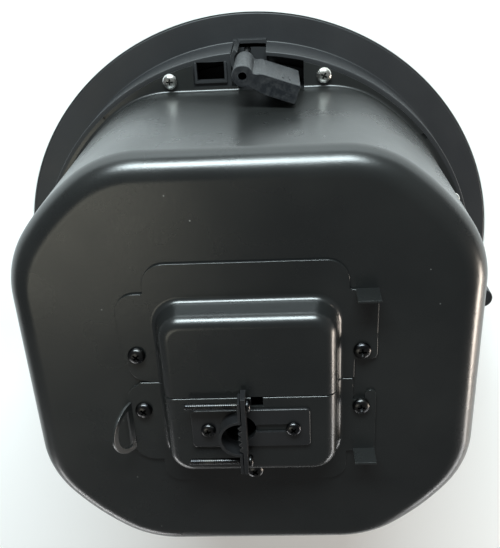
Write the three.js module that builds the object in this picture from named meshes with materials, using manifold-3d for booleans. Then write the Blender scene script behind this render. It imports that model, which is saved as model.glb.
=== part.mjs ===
// Flush ceiling loudspeaker with a full steel back can.
// Millimetres. +Z points up, away from the room: the grille's front face lies on z = 0 and the back can
// stands above it. The origin is the centre of the grille's front face.
import * as THREE from "three";
import { mergeVertices } from "three/addons/utils/BufferGeometryUtils.js";
import Module from "manifold-3d";

const wasm = await Module();
wasm.setup();

// ---- Driving dimensions ---------------------------------------------------------------------------------
const gap = 0.3; // air between two pieces that touch
const past = 1; // how far a cutting tool runs past the face that it cuts

const driverRadius = 83; // 6.5 inch driver, over its frame; what stands round it follows its size
const driverFrame = 10; // width of its mounting frame
const surroundWidth = 9;
const surroundInset = 17; // from the surround to the frame's edge
const magnetRadius = 45;
const magnetTop = 82;
const coilRadius = 16;
const coneDepth = 33;
const tweeterRadius = 17;

const portRadius = 12;
const portLength = 55;
const portFromDriver = 2.4;
const portFromWall = 2.6;
const knobRadius = 9;

const recessWall = 2; // round recess in the front, behind the grille
const plateFront = 7; // z of the front plate that carries the driver
const plateThickness = 2.5;
const clampSpace = 12.6; // from the recess to the outside of the collar
const collarWall = 2; // wall that passes through the ceiling
const collarTop = 34;
const flangeWidth = 15.4;
const flangeThickness = 2;
const flangeFront = 2.4; // z of the ring's front face
const grilleSheet = 0.9;
const grilleSkirt = 4; // height of its turned edge
const grilleClearance = 0.5;

const canInset = 3.6; // the can's corners, inside the collar
const canFlatDepth = 13.7; // how far each of its four flats cuts into the round
const canBlend = 50; // radius between a flat and a corner
const canHeight = 148; // z of its rear face
const canWall = 1;
const canEdge = 11.5; // radius round the rear face
const canLip = 2.2; // flange round the mouth, where it narrows behind a window
const chamberInset = 1.6; // the baffle's inner wall, inside the can's outline
const chamberWall = 2.2;
const shelfThickness = 3;
const gasketThickness = 0.9;

const clampInset = 3.2; // axis of each mounting clamp, inside the collar's outside
const clampAngle = -19.5; // degrees, the stowed arm from the tangent
const clampParking = 10; // the stowed arm's lower end, above the collar
const clampHeight = 36;
const clampBoss = 5.1;
const clampLength = 27.5;
const clampOuter = 3.9; // arm's faces, either side of the screw's axis
const clampInner = 5.3;
const clampScrew = 1.7; // radius of the screw's shank
const clampScrewPast = 14; // its end, above the stowed arm's foot
const nutRadius = 3.2;
const nutHeight = 5.6;
const towerTop = 8.5; // solid base under each clamp
const guideWall = 2.2;
const guideRise = 6; // above the collar
const guideClearance = 0.6;

const canScrewPast = 10.3; // eight screws that hold the can: from the clamp's pocket
const canScrewOut = 6.2; // and from the can's flat
const screwHead = 4; // pan heads of the can and cover screws
const screwHeadHeight = 2.5;
const screwShank = 1.9;

const coverThickness = 1.2;
const coverSplit = -0.5; // y of the seam between the two covers
const seam = 0.6;
const boxX = 40; // raised box over the terminals
const boxTopY = 41;
const boxBottomY = -45;
const boxCorner = 11;
const boxHeight = 14.7; // above the can's rear face
const boxEdge = 4;
const plateBeside = 6.5; // cover plates, past the box's sides
const tabLength = 10.1;
const tabHeight = 10.5; // bent-up tabs on the covers
const coverScrewOut = 10.3; // from the box's side to a cover screw
const cupDepth = 25; // terminal cup below the can's rear face

const cableX = -4.6; // cable hole through the lower cover
const cableY = -16.4;
const cableHole = 7;
const jawClearance = 1.2; // inside of the fixed half-round jaw, round the hole
const jawThickness = 1.2;
const jawHeight = 7.8;
const wingForward = 0.8; // the fixed wings' face, in front of the jaw's centre
const strapScrewSpan = 30.5; // distance between the two clamping screws
const strapThickness = 2;
const strapLongEnd = 6; // from a clamping screw to the strap's end
const strapShortEnd = 4.2;
const strapScrew = 1.5;

// ---- Sizes that follow from them --------------------------------------------------------------------------
const driverHole = driverRadius - driverFrame;
const coneRadius = driverRadius - surroundInset - surroundWidth;
const portReach = driverRadius + portFromDriver + portRadius; // from the axis to the port and to the tap knob
const recessRadius = portReach + portRadius + portFromWall;
const collarRadius = recessRadius + clampSpace;
const collarInside = collarRadius - collarWall;
const flangeRadius = collarRadius + flangeWidth;
const flangeBack = flangeFront + flangeThickness;
const grilleInside = flangeRadius + grilleClearance;
const grilleRadius = grilleInside + grilleSheet;
const plateBack = plateFront + plateThickness;
const canRound = collarInside - canInset;
const canFlat = canRound - canFlatDepth;
const clampRadius = collarRadius - clampInset;
const clampBottom = collarTop + clampParking;
const clampScrewTop = clampBottom + clampScrewPast;
const guideTop = collarTop + guideRise;
const jawRadius = cableHole + jawClearance;

// ---- Materials ------------------------------------------------------------------------------------------
const finish = (color, roughness, metalness) =>
  new THREE.MeshStandardMaterial({ color, roughness, metalness });
const powderCoat = finish(0x191a1c, 0.42, 0.3);
const blackPlastic = finish(0x1d1e21, 0.6, 0);
const clampPlastic = finish(0x232427, 0.55, 0);
const zincScrew = finish(0xb9bcc0, 0.3, 1);
const blackScrew = finish(0x141416, 0.35, 0.8);
const brass = finish(0xb08d3c, 0.35, 1);
const whitePaint = finish(0xe9eae8, 0.5, 0.1);
const foam = finish(0x2a2a2a, 0.95, 0);
const magnetFerrite = finish(0x3a3b3e, 0.6, 0.4);
const coneFibre = finish(0x222226, 0.8, 0);
const rubber = finish(0x151515, 0.7, 0);
const boardGreen = finish(0x2d5f3a, 0.5, 0);
const terminalWhite = finish(0xd8d4c8, 0.5, 0);
const silkDome = finish(0x3a3836, 0.8, 0);
const steelCore = finish(0x6d6f73, 0.4, 0.9);

const roundSteps = 48; // sides of the large round pieces
const product = new THREE.Group();

// ---- Making solids --------------------------------------------------------------------------------------
// A closed geometry becomes a solid that can be joined and cut. Triangles that have no width are left out.
function solid(geometry) {
  const bare = new THREE.BufferGeometry();
  const source = geometry.index ? geometry.toNonIndexed() : geometry;
  bare.setAttribute("position", source.getAttribute("position").clone());
  const merged = mergeVertices(bare, 1e-4);
  const corners = [];
  for (let i = 0; i < merged.index.count; i += 3) {
    const [a, b, c] = [0, 1, 2].map((k) => merged.index.getX(i + k));
    if (a !== b && b !== c && c !== a) corners.push(a, b, c);
  }
  return new wasm.Manifold(
    new wasm.Mesh({
      numProp: 3,
      vertProperties: new Float32Array(merged.attributes.position.array),
      triVerts: new Uint32Array(corners),
    }),
  );
}

function geometryOf(body) {
  const cut = body.getMesh();
  const geometry = new THREE.BufferGeometry();
  geometry.setAttribute("position", new THREE.BufferAttribute(new Float32Array(cut.vertProperties), 3));
  geometry.setIndex(new THREE.BufferAttribute(new Uint32Array(cut.triVerts), 1));
  const flat = geometry.toNonIndexed();
  flat.computeVertexNormals();
  return flat;
}

function add(name, body, material, parent = product) {
  const mesh = new THREE.Mesh(geometryOf(body), material);
  mesh.name = name;
  parent.add(mesh);
  return mesh;
}

const joined = (bodies) => bodies.reduce((sum, body) => sum.add(body));
const cutBy = (body, tools) => tools.reduce((left, tool) => left.subtract(tool), body);

// A straight prism of an outline between two heights.
function prism(shape, low, high, curveSegments = 4) {
  const how = { depth: high - low, bevelEnabled: false, curveSegments };
  const geometry = new THREE.ExtrudeGeometry(shape, how);
  return solid(geometry.translate(0, 0, low));
}

// A prism whose upper edge is rounded. The outline is the prism's widest section.
function roundedPrism(shape, low, high, radius, curveSegments = 4, bevelSegments = 3) {
  const geometry = new THREE.ExtrudeGeometry(shape, {
    depth: high - low,
    bevelEnabled: true,
    bevelThickness: radius,
    bevelSize: radius,
    bevelOffset: -radius,
    bevelSegments,
    curveSegments,
  });
  const whole = solid(geometry.translate(0, 0, low - radius));
  return whole.subtract(block([0, 0, low - 2 * radius], [4 * canRound, 4 * canRound, 4 * radius]));
}

function block(centre, size) {
  return solid(new THREE.BoxGeometry(...size).translate(...centre));
}

// A box between two corners.
function slab(low, high) {
  const size = high.map((v, i) => v - low[i]);
  return block(low.map((v, i) => v + size[i] / 2), size);
}

function rod(x, y, low, high, radius, sides = 24) {
  const geometry = new THREE.CylinderGeometry(radius, radius, high - low, sides);
  return solid(geometry.rotateX(Math.PI / 2).translate(x, y, (low + high) / 2));
}

// A turned piece: its profile of [radius, height] points runs up the outside and down the inside.
function turned(profile, segments = 48) {
  const closed = [...profile, profile[0]].map(([r, z]) => new THREE.Vector2(r, z));
  return solid(new THREE.LatheGeometry(closed, segments).rotateX(Math.PI / 2));
}

const ring = (inner, outer, low, high, segments) =>
  turned([[inner, low], [outer, low], [outer, high], [inner, high]], segments);

// An outline through corners [x, y, radius], each rounded by its own radius.
function outline(corners) {
  const shape = new THREE.Shape();
  corners.forEach(([x, y, radius = 0], i) => {
    const here = new THREE.Vector2(x, y);
    const before = corners[(i + corners.length - 1) % corners.length];
    const after = corners[(i + 1) % corners.length];
    const toward = (end) => new THREE.Vector2(end[0], end[1]).sub(here).setLength(radius).add(here);
    const [start, end] = radius ? [toward(before), toward(after)] : [here, here];
    if (i === 0) shape.moveTo(start.x, start.y);
    else shape.lineTo(start.x, start.y);
    if (radius) shape.quadraticCurveTo(x, y, end.x, end.y);
  });
  shape.closePath();
  return shape;
}

const rectangle = (lowX, lowY, highX, highY, radius) =>
  outline([[lowX, lowY, radius], [highX, lowY, radius], [highX, highY, radius], [lowX, highY, radius]]);

// The can's outline, moved outwards by some distance: four flats and four round corners with blends.
function canOutline(outwards = 0) {
  const shape = new THREE.Shape();
  const near = canFlat - canBlend;
  const far = Math.sqrt((canRound - canBlend) ** 2 - near ** 2);
  const blend = canBlend + outwards;
  const turn = Math.atan2(far, near);
  for (let side = 0; side < 4; side++) {
    const quarter = (side * Math.PI) / 2;
    const centre = (x, y) => new THREE.Vector2(x, y).rotateAround(new THREE.Vector2(), quarter);
    const first = centre(near, far);
    const last = centre(far, near);
    shape.absarc(first.x, first.y, blend, quarter, quarter + turn);
    shape.absarc(0, 0, canRound + outwards, quarter + turn, quarter + Math.PI / 2 - turn);
    shape.absarc(last.x, last.y, blend, quarter + Math.PI / 2 - turn, quarter + Math.PI / 2);
  }
  shape.closePath();
  return shape;
}

// The same tool at each of the four clamps, flats or corners.
function fourTimes(make) {
  return [0, 1, 2, 3].map((side) => {
    const body = make(side);
    return solid(geometryOf(body).rotateZ((side * Math.PI) / 2));
  });
}

// A pan-head screw that points down -Z, with its head's underside at the origin.
function panScrew(headRadius, headHeight, shankRadius, shankLength) {
  return turned(
    [
      [0, -shankLength],
      [shankRadius, -shankLength],
      [shankRadius, 0],
      [headRadius, 0],
      [headRadius, headHeight * 0.5],
      [headRadius * 0.65, headHeight],
      [0, headHeight],
    ],
    10,
  );
}

// ---- Baffle: ring, collar, front plate, chamber wall, shelf and clamp towers ------------------------------
const shelfLow = collarTop - shelfThickness;
const chamberOutside = -chamberInset;
const chamberInside = -chamberInset - chamberWall;
const gapLeft = clampBoss + guideClearance + guideWall; // collar's opening at a clamp, left of its axis
const gapRight = clampBoss + 5.4;
const pocketRight = clampLength + 2.5;
const sliver = 0.05; // keeps a cut clear of the wall beside it
const windowFrame = 1.3;
const windowWidth = 14.5;
const windowRight = -gapLeft - guideWall - windowFrame - 0.1;
const windowLeft = windowRight - windowWidth;
const windowLow = canFlat + 5.3;
const windowHigh = collarInside - 2.4;
const canScrewX = pocketRight + canScrewPast; // two screws to a flat
const canScrewY = canFlat + canScrewOut;
const portAngle = (3 * Math.PI) / 4;
const knobAngle = Math.PI / 4;
const onCircle = (radius, angle) => [radius * Math.cos(angle), radius * Math.sin(angle)];
const [portX, portY] = onCircle(portReach, portAngle);
const [knobX, knobY] = onCircle(portReach, knobAngle);
const guideInside = clampBoss + guideClearance;

function guide() {
  const shape = new THREE.Shape();
  const start = THREE.MathUtils.degToRad(135);
  const end = THREE.MathUtils.degToRad(240);
  shape.absarc(0, clampRadius, guideInside + guideWall, start, end, false);
  shape.absarc(0, clampRadius, guideInside, end, start, true);
  shape.closePath();
  return prism(shape, flangeBack - past, guideTop, 2);
}

function clampTower() {
  const base = slab([-gapLeft, canFlat, flangeFront], [gapRight, clampRadius + clampBoss, towerTop]);
  const brace = slab(
    [-gapLeft - guideWall, canFlat - chamberInset - past, flangeFront],
    [-gapLeft + guideWall / 2, clampRadius - guideInside, shelfLow + past],
  );
  return base.add(guide()).add(brace);
}

function shelf() {
  const disc = rod(0, 0, shelfLow, collarTop, collarInside + past, roundSteps);
  const bosses = fourTimes(() =>
    rod(canScrewX, canScrewY, collarTop - 14, collarTop, screwHead, 10).add(
      rod(-canScrewX, canScrewY, collarTop - 14, collarTop, screwHead, 10),
    ),
  );
  const frames = fourTimes(() =>
    slab(
      [windowLeft - windowFrame, windowLow - windowFrame, shelfLow],
      [windowRight + windowFrame, windowHigh, collarTop + windowFrame],
    ),
  );
  return joined([disc, ...bosses, ...frames]).subtract(
    prism(canOutline(chamberInside), shelfLow - 20, collarTop + past, 1),
  );
}

const baffleRing = turned(
  [
    [recessRadius, flangeFront],
    [flangeRadius - 1, flangeFront],
    [flangeRadius, flangeFront + 0.8],
    [flangeRadius, flangeBack - 0.6],
    [flangeRadius - 0.8, flangeBack],
    [collarRadius, flangeBack],
    [collarRadius, collarTop],
    [collarInside, collarTop],
    [collarInside, flangeBack],
    [recessRadius + recessWall, flangeBack],
    [recessRadius + recessWall, plateBack],
    [driverHole, plateBack],
    [driverHole, plateFront],
    [recessRadius, plateFront],
  ],
  roundSteps,
);
const chamber = prism(canOutline(chamberOutside), flangeFront + past, collarTop, 1).subtract(
  prism(canOutline(chamberInside), 0, collarTop + past, 1),
);
const armPockets = fourTimes(() =>
  slab(
    [-gapLeft, canFlat - chamberInset + gap, towerTop],
    [gapRight, clampRadius + 2 * clampBoss, collarTop + past],
  ).add(
    slab(
      [gapRight - past, canFlat - chamberInset + gap, plateBack],
      [pocketRight, collarRadius, collarTop + past],
    ).intersect(rod(0, 0, 0, collarTop + past, collarInside - sliver, roundSteps)),
  ),
);
const windows = fourTimes(() =>
  slab([windowLeft, windowLow, shelfLow - past], [windowRight, windowHigh, collarTop + 2 * windowFrame]),
);
const clampScrewHeadRadius = 3.6;
const clampScrewHeadHeight = 2.2;
const clampScrewSeat = 5.8; // z of the counterbore's floor
const clampScrewWays = fourTimes(() =>
  rod(0, clampRadius, 0, towerTop + past, clampScrew + gap, 16).add(
    rod(0, clampRadius, 0, clampScrewSeat, clampScrewHeadRadius + 2 * gap, 20),
  ),
);
const canScrewLength = 10;
const canScrewWays = fourTimes(() =>
  joined(
    [-1, 1].map((side) =>
      rod(side * canScrewX, canScrewY, collarTop - canScrewLength - 1, collarTop + past, screwShank + gap, 8),
    ),
  ),
);
const driverScrewRadius = driverRadius - driverFrame / 2;
const driverScrewShank = 1.6;
const driverScrewLength = 9;
const driverScrewAngles = [0, 1, 2, 3].map((k) => (k * Math.PI) / 2);
const driverScrewWays = driverScrewAngles.map((angle) => {
  const [x, y] = onCircle(driverScrewRadius, angle);
  return rod(x, y, 0, plateBack + past, driverScrewShank + gap, 8);
});
const recessTool = rod(0, 0, 0, plateFront, recessRadius, roundSteps);
const knobShaft = 3;
const shelfBody = cutBy(shelf(), armPockets);
const baffleBody = cutBy(joined([baffleRing, chamber, shelfBody]), armPockets);
const baffle = cutBy(joined([baffleBody, ...fourTimes(clampTower)]), [
  recessTool,
  ...windows,
  ...clampScrewWays,
  ...canScrewWays,
  ...driverScrewWays,
  rod(portX, portY, 0, plateBack + past, portRadius + gap, 24),
  rod(knobX, knobY, 0, plateBack + past, knobShaft + gap, 16),
]);
add("baffle_ring", baffle, blackPlastic);

// ---- Grille ----------------------------------------------------------------------------------------------
add(
  "grille",
  turned(
    [
      [0, 0],
      [grilleRadius - 1, 0],
      [grilleRadius, 1],
      [grilleRadius, grilleSkirt],
      [grilleInside, grilleSkirt],
      [grilleInside, 1.4],
      [grilleInside - 0.6, grilleSheet],
      [0, grilleSheet],
    ],
    roundSteps,
  ),
  whitePaint,
);

// ---- Back can --------------------------------------------------------------------------------------------
const gasketLow = collarTop + gap;
const canMouth = gasketLow + gasketThickness + gap;
const lipTop = canMouth + canWall;
const lipStep = windowLeft - windowFrame - 2 * gap; // where the flange narrows beside a window
const lipEnd = -4.5; // and where it stops beside the clamp's arm
const cupX = boxX - 5; // half width of the opening in the can's rear face
const cupTopY = boxTopY - 5;
const cupBottomY = boxBottomY + 5;
const cupCorner = 7;
const coverScrewX = boxX + coverScrewOut;
const coverScrews = [
  [-coverScrewX, coverSplit + 15],
  [coverScrewX, coverSplit + 15],
  [-coverScrewX, coverSplit - 15],
  [coverScrewX, coverSplit - 15],
  [0, boxBottomY - 7.5],
];

const canOuter = roundedPrism(canOutline(), canMouth, canHeight, canEdge, 2, 4);
const canInner = roundedPrism(
  canOutline(-canWall),
  canMouth - 2 * past,
  canHeight - canWall,
  canEdge - canWall,
  2,
  4,
);
const lipNotches = fourTimes(() =>
  slab([lipEnd, canFlat + sliver, canMouth - past], [pocketRight, 2 * clampRadius, lipTop + past]).add(
    slab([lipStep, canFlat + canLip, canMouth - past], [lipEnd + past, 2 * clampRadius, lipTop + past]),
  ),
);
const lip = cutBy(rod(0, 0, canMouth, lipTop, collarInside - gap, roundSteps), lipNotches);
const lipScrewWays = fourTimes(() =>
  joined(
    [-1, 1].map((side) =>
      rod(side * canScrewX, canScrewY, canMouth - past, lipTop + past, screwShank + gap, 8),
    ),
  ),
);
const canShell = cutBy(joined([canOuter, lip]), [
  canInner,
  ...lipScrewWays,
  prism(rectangle(-cupX, cupBottomY, cupX, cupTopY, cupCorner), canHeight - 2, canHeight + past, 2),
  ...coverScrews.map(([x, y]) => rod(x, y, canHeight - 2, canHeight + past, screwShank + gap, 8)),
]);
add("back_can", canShell, powderCoat);
add(
  "can_gasket",
  prism(canOutline(-canWall), gasketLow, gasketLow + gasketThickness, 1).subtract(
    prism(canOutline(chamberInside), 0, canHeight, 1),
  ),
  rubber,
);
const liningThickness = 9;
const liningLow = plateFront + portLength + 4;
const liningHigh = canHeight - 16;
add(
  "damping_lining",
  prism(canOutline(-canWall - 2 * gap), liningLow, liningHigh, 1).subtract(
    prism(canOutline(-canWall - 2 * gap - liningThickness), 0, canHeight, 1),
  ),
  foam,
);

[0, 1, 2, 3].forEach((side) => {
  const flat = new THREE.Group();
  flat.rotation.z = (side * Math.PI) / 2;
  product.add(flat);
  [-1, 1].forEach((hand, i) => {
    const screw = add(
      `can_screw_${2 * side + i + 1}`,
      panScrew(screwHead, screwHeadHeight, screwShank, canScrewLength),
      zincScrew,
      flat,
    );
    screw.position.set(hand * canScrewX, canScrewY, lipTop + gap);
  });
});

// ---- Mounting clamps: screw, brass nut and dog-leg arm ----------------------------------------------------
function clampArm() {
  const top = clampBottom + clampHeight;
  const boss = rod(0, 0, clampBottom, top, clampBoss, 24);
  const arm = outline([
    [0, -clampInner, 0],
    [clampLength, -clampInner, 0.8],
    [clampLength, clampOuter, 0.8],
    [clampBoss + 2.4, clampOuter, 0.6],
    [clampBoss - 1.2, 3, 0],
    [0, 3, 0],
  ]);
  const body = boss.add(prism(arm, clampBottom, top, 2));
  const ribs = [0, 1].map((k) =>
    slab(
      [clampLength - 9 + 4 * k, clampOuter - 0.5, clampBottom + 16],
      [clampLength - 7.6 + 4 * k, clampOuter + 0.5, top - 6],
    ),
  );
  return cutBy(joined([body, ...ribs]), [
    rod(0, 0, clampBottom - past, top + past, clampScrew + gap, 16),
    rod(0, 0, clampBottom - past, clampBottom + nutHeight + 2 * gap, nutRadius + gap, 20),
  ]);
}

const clampNut = ring(clampScrew + gap, nutRadius, clampBottom + gap, clampBottom + gap + nutHeight, 20);
const clampShank = clampScrewTop - clampScrewSeat;
for (let side = 0; side < 4; side++) {
  const clamp = new THREE.Group();
  clamp.rotation.z = (-side * Math.PI) / 2;
  product.add(clamp);
  const axis = new THREE.Group();
  axis.position.set(0, clampRadius, 0);
  clamp.add(axis);
  const arm = add(`clamp_arm_${side + 1}`, clampArm(), clampPlastic, axis);
  arm.rotation.z = THREE.MathUtils.degToRad(clampAngle);
  add(`clamp_nut_${side + 1}`, clampNut, brass, axis);
  const screw = add(
    `clamp_screw_${side + 1}`,
    panScrew(clampScrewHeadRadius, clampScrewHeadHeight, clampScrew, clampShank),
    blackScrew,
    axis,
  );
  screw.rotation.x = Math.PI;
  screw.position.z = clampScrewSeat - gap;
}

// ---- Terminal covers ------------------------------------------------------------------------------------
const coverLow = canHeight + gap;
const coverTop = coverLow + coverThickness;
const boxTop = canHeight + boxHeight;
const plateX = boxX + plateBeside;
const tabX = boxX + 7;
const tabEnd = tabX + tabLength;
const upperTabY = boxTopY + 4;
const lowerTabY = boxBottomY + 2.6;
const upperPlate = outline([
  [-plateX, -20, 0],
  [tabX, -20, 0],
  [tabX, 9.5, 1],
  [tabEnd, 9.5, 2.5],
  [tabEnd, upperTabY, 0],
  [boxX + 4.5, upperTabY, 1],
  [boxX + 4.5, boxTopY + 18, 10],
  [-boxX - 4.5, boxTopY + 18, 10],
  [-boxX - 4.5, upperTabY, 1],
  [-boxX - 18, upperTabY, 9],
  [-boxX - 17, 16, 6],
  [-boxX - 13, 0, 8],
  [-plateX, 0, 0],
]);
const lowerPlate = outline([
  [-boxX - 8, -1, 8],
  [-boxX - 17.3, -4, 8],
  [-boxX - 17.5, boxBottomY, 10],
  [-boxX - 3.7, boxBottomY, 0],
  [-boxX - 3.7, boxBottomY - 13.4, 8],
  [boxX + 3.7, boxBottomY - 13.4, 8],
  [boxX + 3.7, lowerTabY, 0],
  [tabEnd, lowerTabY, 0],
  [tabEnd, -7.6, 2.4],
  [boxX + 12.2, -7.6, 2.4],
  [boxX + 12.2, -13, 1],
  [plateX, -13, 1],
  [plateX, 20, 0],
  [-boxX - 8, 20, 0],
]);
const boxOutline = rectangle(-boxX, boxBottomY, boxX, boxTopY, boxCorner);
const boxOuter = roundedPrism(boxOutline, coverLow, boxTop, boxEdge, 3, 3);
const boxInner = roundedPrism(
  rectangle(
    -boxX + coverThickness,
    boxBottomY + coverThickness,
    boxX - coverThickness,
    boxTopY - coverThickness,
    boxCorner - coverThickness,
  ),
  coverLow - past,
  boxTop - coverThickness,
  boxEdge - coverThickness,
  3,
  3,
);
const wide = 2 * boxX; // beyond the covers on every side
const aboveSeam = slab([-wide, coverSplit + seam / 2, coverLow - past], [wide, wide, boxTop + past]);
const belowSeam = slab([-wide, -wide, coverLow - past], [wide, coverSplit - seam / 2, boxTop + past]);
const screwWays = coverScrews.map(([x, y]) =>
  rod(x, y, coverLow - past, coverTop + past, screwShank + gap, 8),
);

function tab(y, thicknessSide) {
  return slab(
    [tabX, Math.min(y, y + thicknessSide * coverThickness), coverLow],
    [tabEnd, Math.max(y, y + thicknessSide * coverThickness), coverTop + tabHeight],
  );
}

const notch = slab([0.6, coverSplit - 5, boxTop - 2 * coverThickness], [6, coverSplit, boxTop + past]);
const upperCover = cutBy(joined([prism(upperPlate, coverLow, coverTop, 3), boxOuter, tab(upperTabY, -1)]), [
  boxInner,
  ...screwWays,
]).intersect(aboveSeam);
add("terminal_cover_upper", upperCover, powderCoat);

// Eye for the safety wire: an oval ring bent up from the lower cover's left edge.
const eyeY = -24.5;
const eyeHalf = 13;
const eyeReach = 15;
const eyeBand = 3;
const eyeLean = 27;
function safetyEye() {
  const half = (x, y, rx, ry) => {
    const shape = new THREE.Shape();
    shape.moveTo(-rx, y);
    shape.absellipse(x, y, rx, ry, Math.PI, 0, true);
    shape.closePath();
    return shape;
  };
  const outer = new THREE.ExtrudeGeometry(half(0, 0, eyeHalf, eyeReach), {
    depth: coverThickness,
    bevelEnabled: false,
    curveSegments: 8,
  });
  const inner = new THREE.ExtrudeGeometry(half(0, eyeBand, eyeHalf - eyeBand, eyeReach - 2 * eyeBand), {
    depth: coverThickness + 2 * past,
    bevelEnabled: false,
    curveSegments: 8,
  }).translate(0, 0, -past);
  const stand = (geometry) =>
    solid(
      geometry
        .rotateX(Math.PI / 2)
        .rotateZ(Math.PI / 2)
        .rotateY(THREE.MathUtils.degToRad(-eyeLean))
        .translate(-boxX - 17, eyeY, coverTop - gap),
    );
  return stand(outer).subtract(stand(inner));
}

const baseX = 26.5; // half width of the cable clamp's base
const baseY = cableY;
const baseHalfY = 10;
const baseLow = boxTop + gap;
const baseTop = baseLow + coverThickness;
const baseScrewX = 19;
const slotStart = 1.5; // the base's right-hand hole is a slot
const slotHalf = screwShank + gap;
const baseScrews = [-baseScrewX, baseScrewX];
const cableWay = rod(cableX, cableY, coverLow, baseTop + jawHeight + past, cableHole, 24);
const baseScrewWays = baseScrews.map((x) => rod(x, baseY, baseLow - 5, baseLow, screwShank + gap, 8));
const lowerCover = cutBy(
  joined([prism(lowerPlate, coverLow, coverTop, 3), boxOuter, tab(lowerTabY, 1), safetyEye()]),
  [boxInner, ...screwWays, notch, cableWay, ...baseScrewWays],
).intersect(belowSeam);
add("terminal_cover_lower", lowerCover, powderCoat);

coverScrews.forEach(([x, y], i) => {
  const screw = add(`cover_screw_${i + 1}`, panScrew(screwHead, screwHeadHeight, screwShank, 8), blackScrew);
  screw.position.set(x, y, coverTop + gap);
});

// ---- Cable clamp: base with fixed jaw, moving strap, two clamping screws -------------------------------
const strapScrewLength = 27;
const strapScrewZ = baseTop + 3.6;
const wingX = cableX + wingForward;
const strapX = wingX + gap;
const strapScrewY = [cableY + strapScrewSpan / 2, cableY - strapScrewSpan / 2];
const strapTop = baseTop + jawHeight;
const strapEnds = [
  cableY - strapScrewSpan / 2 - strapShortEnd,
  cableY + strapScrewSpan / 2 + strapLongEnd,
];
const wingShorter = 1.2; // the wings end before the strap does

function alongX(y, z, low, high, radius, sides = 12) {
  const geometry = new THREE.CylinderGeometry(radius, radius, high - low, sides);
  return solid(geometry.rotateZ(Math.PI / 2).translate((low + high) / 2, y, z));
}

function clampBase() {
  const plateOutline = rectangle(-baseX, baseY - baseHalfY, baseX, baseY + baseHalfY, 2);
  const plate = prism(plateOutline, baseLow, baseTop, 2);
  const jawRing = rod(cableX, cableY, baseLow, strapTop, jawRadius + jawThickness, 28);
  const jaw = jawRing.intersect(slab([-2 * boxX, -2 * boxX, baseLow], [cableX, 2 * boxX, strapTop]));
  const wings = slab(
    [wingX - jawThickness, strapEnds[0] + wingShorter, baseLow],
    [wingX, strapEnds[1] - wingShorter, strapTop],
  );
  const openJaw = rod(cableX, cableY, baseTop, strapTop + past, jawRadius, 28);
  return cutBy(joined([plate, jaw, wings]), [
    openJaw,
    cableWay,
    ...strapScrewY.map((y) => alongX(y, strapScrewZ, -boxX, boxX, strapScrew + gap)),
    rod(-baseScrewX, baseY, baseLow - past, baseTop + past, screwShank + 2 * gap, 12),
    prism(
      rectangle(slotStart, baseY - slotHalf, baseScrewX + slotHalf, baseY + slotHalf, screwShank),
      baseLow - past,
      baseTop + past,
      2,
    ),
  ]);
}
add("cable_clamp_base", clampBase(), powderCoat);

function strap() {
  const bite = jawRadius - 0.8; // half of the toothed stretch
  const shape = new THREE.Shape();
  shape.moveTo(strapX, strapEnds[0]);
  shape.lineTo(strapX + strapThickness, strapEnds[0]);
  shape.lineTo(strapX + strapThickness, strapEnds[1]);
  shape.lineTo(strapX, strapEnds[1]);
  shape.lineTo(strapX, cableY + bite);
  for (let k = 0; k < 5; k++) {
    const top = cableY + bite - (k * 2 * bite) / 5;
    shape.lineTo(strapX - 1.8, top - bite / 5);
    shape.lineTo(strapX - 0.4, top - (2 * bite) / 5);
  }
  shape.lineTo(strapX, cableY - bite);
  shape.closePath();
  return cutBy(
    prism(shape, baseTop + gap, strapTop, 2),
    strapScrewY.map((y) => alongX(y, strapScrewZ, -boxX, boxX, strapScrew + gap)),
  );
}
add("cable_clamp_strap", strap(), powderCoat);
strapScrewY.forEach((y, i) => {
  const screw = add(
    `cable_clamp_screw_${i + 1}`,
    panScrew(strapScrew * 1.9, 2, strapScrew, strapScrewLength),
    blackScrew,
  );
  screw.rotation.y = Math.PI / 2;
  screw.position.set(strapX + strapThickness + gap, y, strapScrewZ);
});
baseScrews.forEach((x, i) => {
  const screw = add(`clamp_base_screw_${i + 1}`, panScrew(3.4, 2, screwShank, 6), blackScrew);
  screw.position.set(x, baseY, baseTop + gap);
});

// ---- Inside: terminal cup and block, transformer, crossover --------------------------------------------
const innerFace = canHeight - canWall;
const cupWall = 2;
const cupGap = 0.5;
const cupRim = 4; // flange under the can's rear face
const cupBottom = canHeight - cupDepth;
const cupOutline = (inwards) =>
  rectangle(
    -cupX + cupGap + inwards,
    cupBottomY + cupGap + inwards,
    cupX - cupGap - inwards,
    cupTopY - cupGap - inwards,
    cupCorner - inwards,
  );
const cup = joined([
  prism(cupOutline(0), cupBottom, canHeight - gap, 2),
  prism(
    rectangle(-cupX - cupRim, cupBottomY - cupRim, cupX + cupRim, cupTopY + cupRim, cupCorner),
    innerFace - cupWall - gap,
    innerFace - gap,
    2,
  ),
]).subtract(prism(cupOutline(cupWall), cupBottom + cupWall, canHeight + past, 2));
add("terminal_cup", cup, blackPlastic);

const blockHalf = 24;
const terminalPitch = 12;
const terminalBlock = cutBy(
  slab(
    [-blockHalf, 6, cupBottom + cupWall + gap],
    [blockHalf, 24, cupBottom + cupWall + gap + 16],
  ),
  [0, 1, 2, 3].map((k) =>
    rod((k - 1.5) * terminalPitch, 15, cupBottom + cupWall + gap + 8, canHeight, 3, 10),
  ),
);
add("terminal_block", terminalBlock, terminalWhite);

const transformerLow = innerFace - 39;
const transformer = joined([
  slab([-26, cupTopY + 18, transformerLow], [26, cupTopY + 50, transformerLow + 34]),
  slab([-17, cupTopY + 10, transformerLow + 4], [17, cupTopY + 55, transformerLow + 30]),
  slab([-30, cupTopY + 24, transformerLow + 33], [30, cupTopY + 44, innerFace - gap]),
]);
add("line_transformer", transformer, steelCore);

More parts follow.
